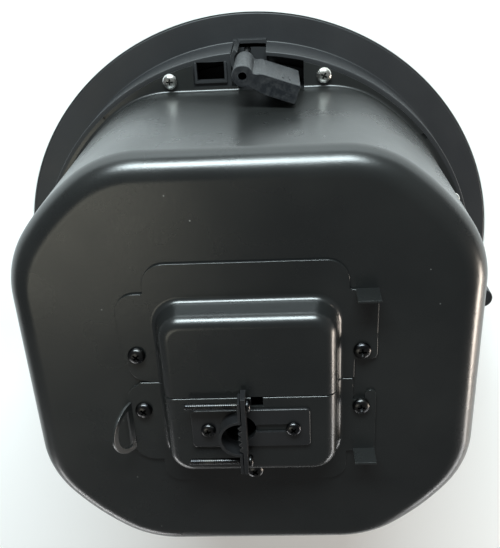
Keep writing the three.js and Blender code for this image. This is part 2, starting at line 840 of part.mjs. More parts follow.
const boardZ = innerFace - 8;
const boardY = [cupBottomY - 50, cupBottomY - 10];
const crossover = joined([
  slab([-45, boardY[0], boardZ - 1.6], [45, boardY[1], boardZ]),
  ...[-40, 40].map((x) =>
    slab([x - 3, boardY[0] + 4, boardZ - past], [x + 3, boardY[1] - 4, innerFace - gap]),
  ),
  rod(-20, (boardY[0] + boardY[1]) / 2, boardZ - 18, boardZ - 1, 13, 20),
  rod(24, boardY[0] + 12, boardZ - 22, boardZ - 1, 7, 14),
  slab([12, boardY[1] - 16, boardZ - 16], [38, boardY[1] - 4, boardZ - 1]),
]);
add("crossover_board", crossover, boardGreen);

// ---- Driver: basket, magnet, moving cone and the tweeter in front of it --------------------------------
const frameLow = 3.2;
const frameHigh = frameLow + 2.5;
const basketTop = 56;
const basketWall = 2;
const basketThroat = magnetRadius + 1;
const basketShell = turned(
  [
    [coneRadius + 9, frameLow],
    [driverRadius, frameLow],
    [driverRadius, frameHigh],
    [driverHole - 1, frameHigh],
    [driverHole - 1, frameHigh + 6],
    [basketThroat, basketTop - basketWall],
    [basketThroat, basketTop],
    [coilRadius + 9, basketTop],
    [coilRadius + 9, basketTop - basketWall],
    [basketThroat - 3, basketTop - basketWall],
    [driverHole - 4, frameHigh + 5],
    [driverHole - 4, frameHigh],
    [coneRadius + 9, frameHigh],
  ],
  32,
);
const basketWindows = [0, 1, 2, 3].map((k) => {
  const tool = new THREE.BoxGeometry(52, 60, 26).translate(0, driverHole, (frameHigh + basketTop) / 2 + 1);
  return solid(tool.rotateZ(((k + 0.5) * Math.PI) / 2));
});
add(
  "driver_basket",
  cutBy(basketShell, [
    ...basketWindows,
    ...driverScrewAngles.map((angle) => {
      const [x, y] = onCircle(driverScrewRadius, angle);
      return rod(x, y, 0, frameHigh + past, driverScrewShank + gap, 8);
    }),
  ]),
  blackPlastic,
);
driverScrewAngles.forEach((angle, i) => {
  const [x, y] = onCircle(driverScrewRadius, angle);
  const shape = panScrew(3, 1.4, driverScrewShank, driverScrewLength);
  const screw = add(`driver_screw_${i + 1}`, shape, blackScrew);
  screw.rotation.x = Math.PI;
  screw.position.set(x, y, frameLow - gap);
});
add(
  "driver_gasket",
  cutBy(
    ring(driverHole + 0.5, driverRadius - 0.5, frameHigh + gap, plateFront - gap, 32),
    driverScrewAngles.map((angle) => {
      const [x, y] = onCircle(driverScrewRadius, angle);
      return rod(x, y, 0, plateFront + past, driverScrewShank + gap, 8);
    }),
  ),
  rubber,
);

const poleRadius = coilRadius - 2.2;
const magnetBottom = basketTop + gap;
const coilSlot = [coilRadius - 1.2, coilRadius + 1.3];
const postRadius = 5;
const magnet = cutBy(
  turned(
    [
      [0, magnetBottom],
      [magnetRadius - 4, magnetBottom],
      [magnetRadius - 4, magnetBottom + 5],
      [magnetRadius, magnetBottom + 5.5],
      [magnetRadius, magnetTop - 6],
      [magnetRadius - 4, magnetTop - 5.5],
      [magnetRadius - 4, magnetTop],
      [0, magnetTop],
    ],
    28,
  ),
  [ring(coilSlot[0], coilSlot[1], magnetBottom - past, magnetTop - 6, 24)],
).add(rod(0, 0, 20, magnetBottom + past, postRadius, 16));
add("driver_magnet", magnet, magnetFerrite);

const coneThickness = 0.9;
const coneFront = frameHigh + 1.5;
const coneBack = coneFront + coneDepth;
add(
  "woofer_cone",
  turned(
    [
      [coilRadius - 0.9, coneBack],
      [coneRadius, coneFront],
      [coneRadius, coneFront + coneThickness],
      [coneRadius - 14, coneFront + 10.5],
      [coilRadius + 0.9, coneBack + 2.5],
      [coilRadius + 0.9, coneBack + 27],
      [coilRadius - 0.9, coneBack + 27],
    ],
    32,
  ),
  coneFibre,
);
const stroke = 4;
add(
  "woofer_surround",
  turned(
    [
      [coneRadius + gap, coneFront],
      [coneRadius + 2.6, coneFront - 2.4],
      [coneRadius + 6.4, coneFront - 2.4],
      [coneRadius + 9 - gap, coneFront - 1],
      [coneRadius + 9 - gap, coneFront],
      [coneRadius + 4.6, coneFront - 1.4],
      [coneRadius + gap, coneFront + 0.8],
    ],
    32,
  ),
  rubber,
);
const spiderZ = coneBack + 8;
add(
  "spider",
  turned(
    [
      [coilRadius + 0.9 + gap, spiderZ],
      [coilRadius + 6, spiderZ + 1.5],
      [coilRadius + 11, spiderZ - 0.5],
      [coilRadius + 17, spiderZ],
      [coilRadius + 17, spiderZ + 0.7],
      [coilRadius + 11, spiderZ + 0.4],
      [coilRadius + 6, spiderZ + 2.4],
      [coilRadius + 0.9 + gap, spiderZ + 0.9],
    ],
    24,
  ),
  coneFibre,
);
const tweeterLow = 4;
const tweeterHigh = 16;
add(
  "tweeter_housing",
  turned(
    [
      [10.5, tweeterLow + 2],
      [tweeterRadius - 2.4, tweeterLow],
      [tweeterRadius, tweeterLow + 1],
      [tweeterRadius, tweeterHigh - 3],
      [tweeterRadius - 3, tweeterHigh],
      [postRadius + 3, tweeterHigh + 3.7],
      [0, tweeterHigh + 3.7],
      [0, tweeterHigh - 2],
      [10.5, tweeterHigh - 2],
    ],
    28,
  ),
  blackPlastic,
);
add(
  "tweeter_dome",
  turned(
    [
      [0, tweeterHigh - 2 - gap],
      [0, tweeterLow + 1.2],
      [5, tweeterLow + 2.4],
      [8.4, tweeterLow + 5],
      [10.5 - gap, tweeterLow + 5.4],
      [10.5 - gap, tweeterHigh - 2 - gap],
    ],
    24,
  ),
  silkDome,
);

// ---- Port and tap selector -----------------------------------------------------------------------------
const portRim = 1.8;
const portTube = turned(
  [
    [portRadius - 2, plateFront - portRim],
    [portRadius + portRim, plateFront - portRim],
    [portRadius + portRim, plateFront - gap],
    [portRadius, plateFront - gap],
    [portRadius, plateFront + portLength],
    [portRadius - 2, plateFront + portLength],
  ],
  20,
);
add("port_tube", portTube, blackPlastic).position.set(portX, portY, 0);

const selectorBody = ring(knobShaft + gap, 12, plateBack + gap, plateBack + 14, 20);
add("tap_selector_switch", selectorBody, blackPlastic).position.set(knobX, knobY, 0);
const knob = rod(0, 0, plateFront - 3.8, plateFront - gap, knobRadius, 24)
  .add(rod(0, 0, plateFront - 1, plateBack + 10, knobShaft, 16))
  .subtract(slab([-0.8, 1.5, plateFront - 5], [0.8, knobRadius + 1, plateFront - 2.6]));
add("tap_selector_knob", knob, clampPlastic).position.set(knobX, knobY, 0);

export default product;
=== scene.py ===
import math
import bpy
from mathutils import Matrix, Vector


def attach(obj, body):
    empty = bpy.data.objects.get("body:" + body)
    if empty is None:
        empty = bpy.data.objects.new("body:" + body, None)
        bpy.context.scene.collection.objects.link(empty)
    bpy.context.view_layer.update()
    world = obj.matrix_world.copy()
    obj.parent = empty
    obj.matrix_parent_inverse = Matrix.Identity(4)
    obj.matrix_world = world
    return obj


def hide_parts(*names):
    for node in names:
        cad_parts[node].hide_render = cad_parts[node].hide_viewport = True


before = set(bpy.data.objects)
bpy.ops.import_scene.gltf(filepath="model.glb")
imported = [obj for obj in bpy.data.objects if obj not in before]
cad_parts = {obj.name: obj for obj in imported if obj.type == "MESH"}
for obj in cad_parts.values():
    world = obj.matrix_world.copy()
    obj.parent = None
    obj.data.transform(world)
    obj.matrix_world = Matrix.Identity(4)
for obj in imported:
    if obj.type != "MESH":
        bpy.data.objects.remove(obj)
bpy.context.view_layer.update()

# ---- Studio: table, lights and camera ---------------------------------------------------------------------
# The loudspeaker lies on its grille on a pale table and is seen from above, a little beyond its top edge.
# A long softbox past that edge draws the bright band along the can's rounded shoulder, and a dimmer one
# above the left side lifts the rear face there.
camera_place = Vector((0.0178, 0.1932, 0.4289))
camera_aim = Vector((-0.0008, 0.0234, 0.0895))
camera_roll = Vector((1.0, -0.0325, 0.0))
camera_lens = 48.7


def look_along(item, aim, side=Vector((1.0, 0.0, 0.0))):
    back = (item.location - aim).normalized()
    right = (side - side.dot(back) * back).normalized()
    turn = Matrix((right, back.cross(right), back)).transposed()
    item.rotation_euler = turn.to_euler()


def add_camera():
    lens = bpy.data.cameras.new("studio_camera")
    lens.lens = camera_lens
    lens.clip_start = 0.01
    camera = bpy.data.objects.new("studio_camera", lens)
    bpy.context.scene.collection.objects.link(camera)
    camera.location = camera_place
    look_along(camera, camera_aim, camera_roll)
    bpy.context.scene.camera = camera


def softbox(name, place, width, height, watts, colour=(1.0, 1.0, 1.0)):
    lamp = bpy.data.lights.new(name, "AREA")
    lamp.shape = "RECTANGLE"
    lamp.size = width
    lamp.size_y = height
    lamp.energy = watts
    lamp.color = colour
    item = bpy.data.objects.new(name, lamp)
    bpy.context.scene.collection.objects.link(item)
    item.location = place
    look_along(item, Vector((0, 0, 0.09)))


def deselect():
    if bpy.context.mode != "OBJECT":
        bpy.ops.object.mode_set(mode="OBJECT")
    bpy.ops.object.select_all(action="DESELECT")


def pale_table():
    deselect()
    bpy.ops.mesh.primitive_plane_add(size=12, location=(0, 0, -0.0002))
    table = bpy.context.object
    table.name = "pale_table"
    paint = bpy.data.materials.new("pale_table")
    paint.use_nodes = True
    shader = paint.node_tree.nodes["Principled BSDF"]
    shader.inputs["Base Color"].default_value = (0.97, 0.97, 0.97, 1)
    shader.inputs["Roughness"].default_value = 0.9
    shader.inputs["Specular IOR Level"].default_value = 0.2
    table.data.materials.append(paint)


add_camera()
pale_table()
softbox("shoulder_light", (-0.05, 1.0, 0.62), 0.8, 0.3, 28, (0.84, 0.97, 1.0))
softbox("right_light", (1.0, -0.4, 0.26), 0.4, 0.16, 7, (1.0, 0.88, 0.76))
softbox("rear_face_light", (-0.48, -0.3, 1.28), 0.5, 0.5, 1.5, (1.0, 0.97, 0.8))
softbox("left_floor_light", (-0.7, -1.3, 0.3), 0.9, 0.2, 4.5)
softbox("right_floor_light", (0.9, -1.1, 0.3), 0.9, 0.2, 4.5)
room = bpy.data.worlds.new("studio_room")
bpy.context.scene.world = room
room.use_nodes = True
room.node_tree.nodes["Background"].inputs["Color"].default_value = (0.94, 0.97, 1.0, 1)
room.node_tree.nodes["Background"].inputs["Strength"].default_value = 0.14
bpy.context.scene.view_settings.view_transform = "Standard"

# ---- Baffle ---------------------------------------------------------------------------------------------
# One black ABS moulding carries everything: the ring that shows round the ceiling cut-out, the collar that
# passes through it, the front plate for the driver, a chamber wall that the can fits round, and a shelf
# with windows, clamp pockets and towers. Its faces have a fine spark-eroded grain.
mm = 0.001
air = 0.3 * mm
flange_low = 2.4 * mm
collar_radius = 124.6 * mm
collar_inside = 122.6 * mm
collar_top = 34 * mm
recess_radius = 112 * mm
plate_low = 7 * mm
plate_top = 9.5 * mm
shelf_low = 31 * mm
can_flat = 105.3 * mm
can_round = 119 * mm
can_blend = 50 * mm
chamber_out = -1.6 * mm
chamber_in = -3.8 * mm
clamp_radius = 121.4 * mm
gap_left = -7.9 * mm
gap_right = 10.5 * mm
pocket_right = 30 * mm
tower_top = 8.5 * mm
pocket_top = 36 * mm
guide_top = 40 * mm
guide_inner = 5.7 * mm
guide_outer = 7.9 * mm
window_left = -26 * mm
window_right = -11.5 * mm
window_low = 110.6 * mm
window_high = 120.2 * mm
window_frame = 1.3 * mm
can_screw_x = 40.3 * mm
can_screw_y = 111.5 * mm
port_reach = 97.4 * mm
quarter = math.pi / 2


def work_on(piece):
    deselect()
    piece.select_set(True)
    bpy.context.view_layer.objects.active = piece


def edit_all(piece):
    work_on(piece)
    bpy.ops.object.mode_set(mode="EDIT")
    bpy.ops.mesh.select_all(action="SELECT")


def clean(piece):
    """Merges doubled points and turns all faces outwards."""
    edit_all(piece)
    bpy.ops.mesh.remove_doubles(threshold=0.002 * mm)
    bpy.ops.mesh.dissolve_degenerate(threshold=0.001 * mm)
    bpy.ops.mesh.delete_loose(use_verts=True, use_edges=True, use_faces=False)
    bpy.ops.mesh.select_all(action="SELECT")
    bpy.ops.mesh.normals_make_consistent(inside=False)
    bpy.ops.object.mode_set(mode="OBJECT")
    return piece


def outline_plate(name, points, height=0.0, filled=True):
    """A flat plate, or a bare loop, whose rim runs through the points."""
    deselect()
    fill = "NGON" if filled else "NOTHING"
    bpy.ops.mesh.primitive_circle_add(vertices=len(points), radius=1, fill_type=fill)
    piece = bpy.context.object
    piece.name = name
    for vertex, (x, y) in zip(piece.data.vertices, points):
        vertex.co = (x, y, height)
    piece.data.update()
    return piece


def select_faces(piece, test):
    """Leaves the piece in edit mode with the faces selected that pass the test."""
    work_on(piece)
    bpy.ops.object.mode_set(mode="EDIT")
    bpy.ops.mesh.select_mode(type="FACE")
    bpy.ops.mesh.select_all(action="DESELECT")
    bpy.ops.object.mode_set(mode="OBJECT")
    for face in piece.data.polygons:
        face.select = test(face)
    bpy.ops.object.mode_set(mode="EDIT")


def select_seams(piece, first, second):
    """Selects the edges between a face that passes the first test and one that passes the second."""
    work_on(piece)
    bpy.ops.object.mode_set(mode="EDIT")
    bpy.ops.mesh.select_mode(type="EDGE")
    bpy.ops.mesh.select_all(action="DESELECT")
    bpy.ops.object.mode_set(mode="OBJECT")
    sides = {}
    for face in piece.data.polygons:
        for key in face.edge_keys:
            sides.setdefault(key, []).append(face)
    for edge in piece.data.edges:
        faces = sides.get(edge.key, [])
        if len(faces) == 2:
            one, other = faces
            edge.select = (first(one) and second(other)) or (first(other) and second(one))
    bpy.ops.object.mode_set(mode="EDIT")


def level(height):
    return lambda face: abs(face.normal.z) > 0.99 and abs(face.center.z - height) < 0.02 * mm


def upright(face):
    return abs(face.normal.z) < 0.3


def lift(distance):
    bpy.ops.mesh.extrude_region_move(TRANSFORM_OT_translate={"value": (0, 0, distance)})


def prism(name, points, low, high, edge=0.0, segments=3):
    """A straight prism, with its upper edge rounded if an edge radius is given."""
    piece = outline_plate(name, points, low)
    select_faces(piece, lambda face: True)
    lift(high - low)
    if edge:
        select_seams(piece, level(high), upright)
        bpy.ops.mesh.bevel(offset=edge, segments=segments, affect="EDGES", clamp_overlap=True)
    return clean(piece)


def slab(name, low, high, edge=0.0):
    """A block between two corners, with all its edges rounded if an edge radius is given."""
    deselect()
    bpy.ops.mesh.primitive_cube_add(size=1, location=[(a + b) / 2 for a, b in zip(low, high)])
    piece = bpy.context.object
    piece.name = name
    piece.scale = [b - a for a, b in zip(low, high)]
    bpy.ops.object.transform_apply(location=True, rotation=True, scale=True)
    if edge:
        edit_all(piece)
        bpy.ops.mesh.bevel(offset=edge, segments=2, affect="EDGES")
        bpy.ops.object.mode_set(mode="OBJECT")
    return piece


def rod(name, x, y, low, high, radius, sides=48):
    deselect()
    place = (x, y, (low + high) / 2)
    bpy.ops.mesh.primitive_cylinder_add(vertices=sides, radius=radius, depth=high - low, location=place)
    piece = bpy.context.object
    piece.name = name
    bpy.ops.object.transform_apply(location=True, rotation=True, scale=True)
    return piece


def turned(name, profile, steps=64, at=(0.0, 0.0)):
    """A body turned round an upright axis from a profile of (radius, height) in millimetres."""
    piece = outline_plate(name, [(r * mm, 0.0) for r, z in profile], 0.0, filled=False)
    for vertex, (r, z) in zip(piece.data.vertices, profile):
        vertex.co.z = z * mm
    edit_all(piece)
    bpy.ops.mesh.spin(steps=steps, angle=2 * math.pi, center=(0, 0, 0), axis=(0, 0, 1))
    clean(piece)
    if at != (0.0, 0.0):
        place(piece, Matrix.Translation((at[0], at[1], 0)))
    return piece


def place(piece, matrix):
    """Moves a mesh by a matrix, and leaves its object at the origin."""
    work_on(piece)
    piece.matrix_world = matrix
    bpy.ops.object.transform_apply(location=True, rotation=True, scale=True)
    return piece


def twin(piece, name=""):
    copy = piece.copy()
    copy.data = piece.data.copy()
    copy.name = name or piece.name
    bpy.context.scene.collection.objects.link(copy)
    return copy


def join(pieces):
    work_on(pieces[0])
    for piece in pieces:
        piece.select_set(True)
    bpy.ops.object.join()
    return bpy.context.object


def four_round(piece):
    """Repeats a tool on all four sides of the axis."""
    copies = [piece]
    for side in range(1, 4):
        copies.append(place(twin(piece), Matrix.Rotation(-side * quarter, 4, "Z")))
    return join(copies)


def combine(piece, tools, operation="DIFFERENCE"):
    for tool in tools:
        work_on(piece)
        step = piece.modifiers.new("shape", "BOOLEAN")
        step.operation = operation
        step.solver = "EXACT"
        step.object = tool
        bpy.ops.object.modifier_apply(modifier=step.name)
        bpy.data.objects.remove(tool)
    return piece


def arc(x, y, radius, start, end, steps=8):
    """Points on an arc, its angles in degrees."""
    angles = [math.radians(start + (end - start) * step / steps) for step in range(steps + 1)]
    return [(x + radius * math.cos(a), y + radius * math.sin(a)) for a in angles]


def can_outline(outwards=0.0, steps=10):
    """Four flats and four round corners, with a blend between each."""
    near = can_flat - can_blend
    far = math.sqrt((can_round - can_blend) ** 2 - near**2)
    turn = math.degrees(math.atan2(far, near))
    points = []
    for side in range(4):
        spin = Matrix.Rotation(side * quarter, 2)
        stretch = arc(near, far, can_blend + outwards, 0, turn, steps)
        stretch += arc(0, 0, can_round + outwards, turn, 90 - turn, steps)[1:]
        stretch += arc(far, near, can_blend + outwards, 90 - turn, 90, steps)[1:]
        points += [tuple(spin @ Vector(point)) for point in stretch]
    return points


def on_circle(radius, degrees):
    return radius * math.cos(math.radians(degrees)), radius * math.sin(math.radians(degrees))


def smooth(piece, degrees=32):
    work_on(piece)
    bpy.ops.object.shade_smooth_by_angle(angle=math.radians(degrees))
    even = piece.modifiers.new("even", "WEIGHTED_NORMAL")
    even.keep_sharp = True
    bpy.ops.object.modifier_apply(modifier=even.name)


def settle(piece, body, slot, finish, *nodes):
    """Gives a finished piece its material and body, and names the nodes that it stands for. The slot is not
    used.
    """
    piece.data.materials.clear()
    piece.data.materials.append(finish)
    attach(piece, body)
    if nodes:
        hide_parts(*nodes)


def shader_group(name, inputs, outputs):
    tree = bpy.data.node_groups.new(name, "ShaderNodeTree")
    tree.interface.new_socket("Place", in_out="INPUT", socket_type="NodeSocketVector")
    for label, value in inputs.items():
        socket = tree.interface.new_socket(label, in_out="INPUT", socket_type="NodeSocketFloat")
        socket.default_value = value
    for label in outputs:
        tree.interface.new_socket(label, in_out="OUTPUT", socket_type="NodeSocketFloat")
    return tree, tree.nodes.new("NodeGroupInput").outputs, tree.nodes.new("NodeGroupOutput").inputs


def feed(tree, socket, value):
    if isinstance(value, bpy.types.NodeSocket):
        tree.links.new(value, socket)
    else:
        socket.default_value = value


def noise(tree, spot, scale, detail=2.0, roughness=0.5):
    node = tree.nodes.new("ShaderNodeTexNoise")
    feed(tree, node.inputs["Vector"], spot)
    feed(tree, node.inputs["Scale"], scale)
    node.inputs["Detail"].default_value = detail
    node.inputs["Roughness"].default_value = roughness
    return node.outputs["Fac"]


def spread(tree, value, low, high, to_low=0.0, to_high=1.0):
    node = tree.nodes.new("ShaderNodeMapRange")
    feed(tree, node.inputs["Value"], value)
    for label, number in (("From Min", low), ("From Max", high), ("To Min", to_low), ("To Max", to_high)):
        node.inputs[label].default_value = number
    return node.outputs["Result"]


def work_out(tree, operation, first, second):
    node = tree.nodes.new("ShaderNodeMath")
    node.operation = operation
    feed(tree, node.inputs[0], first)
    feed(tree, node.inputs[1], second)
    return node.outputs["Value"]


def blend(tree, factor, first, second):
    node = tree.nodes.new("ShaderNodeMix")
    node.data_type = "RGBA"
    feed(tree, node.inputs["Factor"], factor)
    feed(tree, node.inputs["A"], first)
    feed(tree, node.inputs["B"], second)
    return node.outputs["Result"]


def make_dust():
    """Settled dust: masks for its specks and for a broader haze."""
    tree, given, result = shader_group("settled_dust", {"Amount": 0.5}, ["Specks", "Haze"])
    cells = tree.nodes.new("ShaderNodeTexVoronoi")
    cells.inputs["Scale"].default_value = 110
    tree.links.new(given["Place"], cells.inputs["Vector"])
    near = spread(tree, cells.outputs["Distance"], 0.02, 0.05, 1, 0)
    chance = spread(tree, noise(tree, given["Place"], 37, 1.0), 0.57, 0.62)
    specks = work_out(tree, "MULTIPLY", near, chance)
    haze = spread(tree, noise(tree, given["Place"], 9, 5.0, 0.6), 0.35, 0.75)
    for label, mask in (("Specks", specks), ("Haze", haze)):
        tree.links.new(work_out(tree, "MULTIPLY", mask, given["Amount"]), result[label])
    return tree


def make_grain():
    """Height of a sprayed or moulded skin: a fine grain on a slow swell."""
    scales = {"Fine": 2200.0, "Swell": 500.0, "Share": 0.5}
    tree, given, result = shader_group("skin_grain", scales, ["Height"])
    fine = noise(tree, given["Place"], given["Fine"])
    swell = noise(tree, given["Place"], given["Swell"])
    slow = work_out(tree, "MULTIPLY", swell, given["Share"])
    tree.links.new(work_out(tree, "ADD", fine, slow), result["Height"])
    return tree


def make_edge_wear_and_sheen():
    """Where an edge is worn and where a highlight is painted along it: how far a rounded normal leans from
    the true one, broken up by noise.
    """
    tree, given, result = shader_group("edge_wear_and_sheen", {"Reach": 0.0004, "Wear": 0.5}, ["Mask"])
    rounded_edge = tree.nodes.new("ShaderNodeBevel")
    rounded_edge.samples = 4
    tree.links.new(given["Reach"], rounded_edge.inputs["Radius"])
    facing = tree.nodes.new("ShaderNodeNewGeometry").outputs["Normal"]
    lean = tree.nodes.new("ShaderNodeVectorMath")
    lean.operation = "DOT_PRODUCT"
    tree.links.new(rounded_edge.outputs["Normal"], lean.inputs[0])
    tree.links.new(facing, lean.inputs[1])
    edge = spread(tree, lean.outputs["Value"], 0.8, 0.99, 1, 0)
    patch = spread(tree, noise(tree, given["Place"], 420, 4.0), 0.42, 0.62)
    # The edge mask marks edges partly as wear, partly as a painted edge highlight.
    wear_and_sheen = work_out(tree, "MULTIPLY", edge, patch)
    tree.links.new(work_out(tree, "MULTIPLY", wear_and_sheen, given["Wear"]), result["Mask"])
    return tree


dust_group = make_dust()
grain_group = make_grain()
edge_wear_and_sheen_group = make_edge_wear_and_sheen()


def effect(tree, group, spot, **values):
    node = tree.nodes.new("ShaderNodeGroup")
    node.node_tree = group
    tree.links.new(spot, node.inputs["Place"])
    for label, value in values.items():
        node.inputs[label].default_value = value
    return node.outputs


def new_finish(name, metallic=0.0, specular=0.5):
    finish = bpy.data.materials.new(name)
    finish.use_nodes = True
    tree = finish.node_tree
    shader = tree.nodes["Principled BSDF"]
    shader.inputs["Metallic"].default_value = metallic
    shader.inputs["Specular IOR Level"].default_value = specular
    return finish, tree, shader, tree.nodes.new("ShaderNodeTexCoord").outputs["Object"]


def bump(tree, shader, height, distance, strength=0.5):
    node = tree.nodes.new("ShaderNodeBump")
    node.inputs["Strength"].default_value = strength
    node.inputs["Distance"].default_value = distance
    tree.links.new(height, node.inputs["Height"])
    tree.links.new(node.outputs["Normal"], shader.inputs["Normal"])


def skin(name, dark, light, rough, grain, depth, specular=0.5, metallic=0.0, dust=0.3, wear_and_sheen_amount=0.3, wear_and_sheen_colour=None):
    """A coloured skin that drifts between two tones, with grain, dust, and edges marked by wear and by a
    painted edge highlight.
    """
    finish, tree, shader, spot = new_finish(name, metallic, specular)
    settled = effect(tree, dust_group, spot, Amount=dust)
    edge_wear_and_sheen = effect(tree, edge_wear_and_sheen_group, spot, Wear=wear_and_sheen_amount)
    tone = blend(tree, spread(tree, noise(tree, spot, 14, 4.0), 0.3, 0.7), (*dark, 1), (*light, 1))
    hazed = blend(tree, work_out(tree, "MULTIPLY", settled["Haze"], 0.1), tone, (0.2, 0.195, 0.18, 1))
    # Edge colour: partly wear, partly a painted highlight along the edges where the edge colour is lighter
    # than the skin.
    wear_and_sheen = blend(tree, edge_wear_and_sheen["Mask"], hazed, (*(wear_and_sheen_colour or [min(1, 4 * v + 0.02) for v in light]), 1))
    dusty = blend(tree, settled["Specks"], wear_and_sheen, (0.4, 0.39, 0.36, 1))
    tree.links.new(dusty, shader.inputs["Base Color"])
    gloss = spread(tree, noise(tree, spot, 40, 5.0), 0.3, 0.7, rough[0], rough[1])
    dull = work_out(tree, "MULTIPLY", settled["Haze"], 0.08)
    tree.links.new(work_out(tree, "ADD", gloss, dull), shader.inputs["Roughness"])
    skin_height = effect(tree, grain_group, spot, Fine=grain, Swell=grain / 4, Share=0.9)["Height"]
    bump(tree, shader, skin_height, depth)
    return finish


black_plastic = skin(
    "black_plastic", (0.011, 0.0115, 0.013), (0.016, 0.0168, 0.0185), (0.42, 0.52), 2600, 0.00005
)


def baffle_profile():
    """The ring, collar, channel and front plate, from the ring's face round to the recess."""
    flange = [(112, 2.4), (139.2, 2.4), *arc(139.2, 3.2, 0.8, -90, 0, 3), *arc(139.3, 3.7, 0.7, 0, 90, 3)]
    ribs = []
    for radius in (136.2, 129.4):
        ribs += [(radius + 0.5, 4.4), (radius + 0.2, 4.412), (radius - 0.2, 4.412), (radius - 0.5, 4.4)]
    foot = arc(125.4, 5.2, 0.8, 270, 180, 3)
    rim = [*arc(124.1, 33.5, 0.5, 0, 90, 3), *arc(123.1, 33.5, 0.5, 90, 180, 3)]
    plate = [(122.6, 4.4), (114, 4.4), (114, 9.5), (73.4, 9.5), (73, 9.1), (73, 7), (112, 7)]
    return flange + ribs + foot + rim + plate


def wall_between(name, outer, inner, low, high):
    wall = prism(name, outer, low, high)
    return combine(wall, [prism("inside", inner, low - mm, high + mm)])


def arm_pockets():
    """The way that each arm travels in: a chute for its boss, and a bay inside the collar for its bar."""
    near = can_flat + chamber_out + air
    chute_far = (gap_right, clamp_radius + 10 * mm, pocket_top)
    chute = slab("chute", (gap_left, near, tower_top), chute_far)
    bay = slab("bay", (gap_right - mm, near, plate_top), (pocket_right, collar_radius, pocket_top))
    combine(bay, [rod("collar", 0, 0, 0, 0.04, collar_inside - 0.05 * mm, 144)], "INTERSECT")
    return four_round(combine(chute, [bay], "UNION"))


def clamp_tower():
    base = slab(
        "tower", (gap_left, can_flat, flange_low), (gap_right, clamp_radius + 5.1 * mm, tower_top), 0.25 * mm
    )
    sweep = arc(0, clamp_radius, guide_outer, 135, 240, 14) + arc(0, clamp_radius, guide_inner, 240, 135, 14)
    guide = prism("guide", sweep, flange_low + mm, guide_top, 0.4 * mm, 2)
    brace = slab("brace", (-10.1 * mm, can_flat - 2.6 * mm, flange_low), (-6.8 * mm, 115.7 * mm, 0.032))
    return four_round(combine(base, [guide, brace], "UNION"))


def both_sides(make):
    """A pair of tools at a flat's two screws, on all four sides."""
    return four_round(join([make(-can_screw_x), make(can_screw_x)]))


def window_frames():
    frame_low = (window_left - window_frame, window_low - window_frame, shelf_low)
    frame_high = (window_right + window_frame, window_high, collar_top + window_frame)
    return four_round(slab("window_frame", frame_low, frame_high, 0.35 * mm))


def build_baffle():
    body = turned("baffle", baffle_profile(), 144)
    shelf = rod("shelf", 0, 0, shelf_low, collar_top, collar_inside + 0.6 * mm, 144)
    combine(shelf, [prism("inside", can_outline(chamber_in), shelf_low - mm, collar_top + mm)])
    bosses = both_sides(lambda x: rod("boss", x, can_screw_y, 0.02, collar_top - 0.1 * mm, 4 * mm, 24))
    chamber = wall_between(
        "chamber", can_outline(chamber_out), can_outline(chamber_in), flange_low + mm, collar_top - 0.05 * mm
    )
    combine(body, [chamber, shelf, bosses, window_frames()], "UNION")
    combine(body, [arm_pockets()])
    combine(body, [clamp_tower()], "UNION")
    seats = rod("seat", 0, clamp_radius, 0, 5.8 * mm, 4.2 * mm, 32)
    clamp_holes = combine(seats, [rod("hole", 0, clamp_radius, 0.001, tower_top + mm, 2 * mm, 24)], "UNION")
    window_low_corner = (window_left, window_low, shelf_low - mm)
    window_holes = slab("window", window_low_corner, (window_right, window_high, collar_top + 3 * mm))
    driver_holes = [
        rod("hole", *on_circle(78 * mm, 90 * k), 0, plate_top + mm, 1.9 * mm, 16) for k in range(4)
    ]
    combine(
        body,
        [
            rod("recess", 0, 0, -mm, plate_low, recess_radius, 144),
            four_round(clamp_holes),
            four_round(window_holes),
            both_sides(lambda x: rod("hole", x, can_screw_y, 0.023, collar_top + mm, 2.2 * mm, 20)),
            join(driver_holes),
            rod("port_hole", *on_circle(port_reach, 135), 0, plate_top + mm, 12.3 * mm, 48),
            rod("knob_hole", *on_circle(port_reach, 45), 0, plate_top + mm, 3.3 * mm, 24),
        ],
    )
    clean(body)
    smooth(body)
    settle(body, "root", "black_plastic", black_plastic, "baffle_ring")


build_baffle()

# ---- Mounting clamps --------------------------------------------------------------------------------------
# Four dog-leg arms of glass-filled nylon, each on a long blackened screw with its head in the front of
# the ring. A knurled brass nut sits in the foot of each arm: turning the screw swings the arm out and draws
# it down on the ceiling panel.
arm_bottom = 44 * mm
arm_top = 80 * mm
arm_length = 27.5 * mm
arm_angle = math.radians(-19.5)
arm_outer = 3.9 * mm
arm_inner = -5.3 * mm
nut_low = 44.3 * mm
nut_high = 49.9 * mm
zinc_colour = (0.66, 0.67, 0.68, 1)


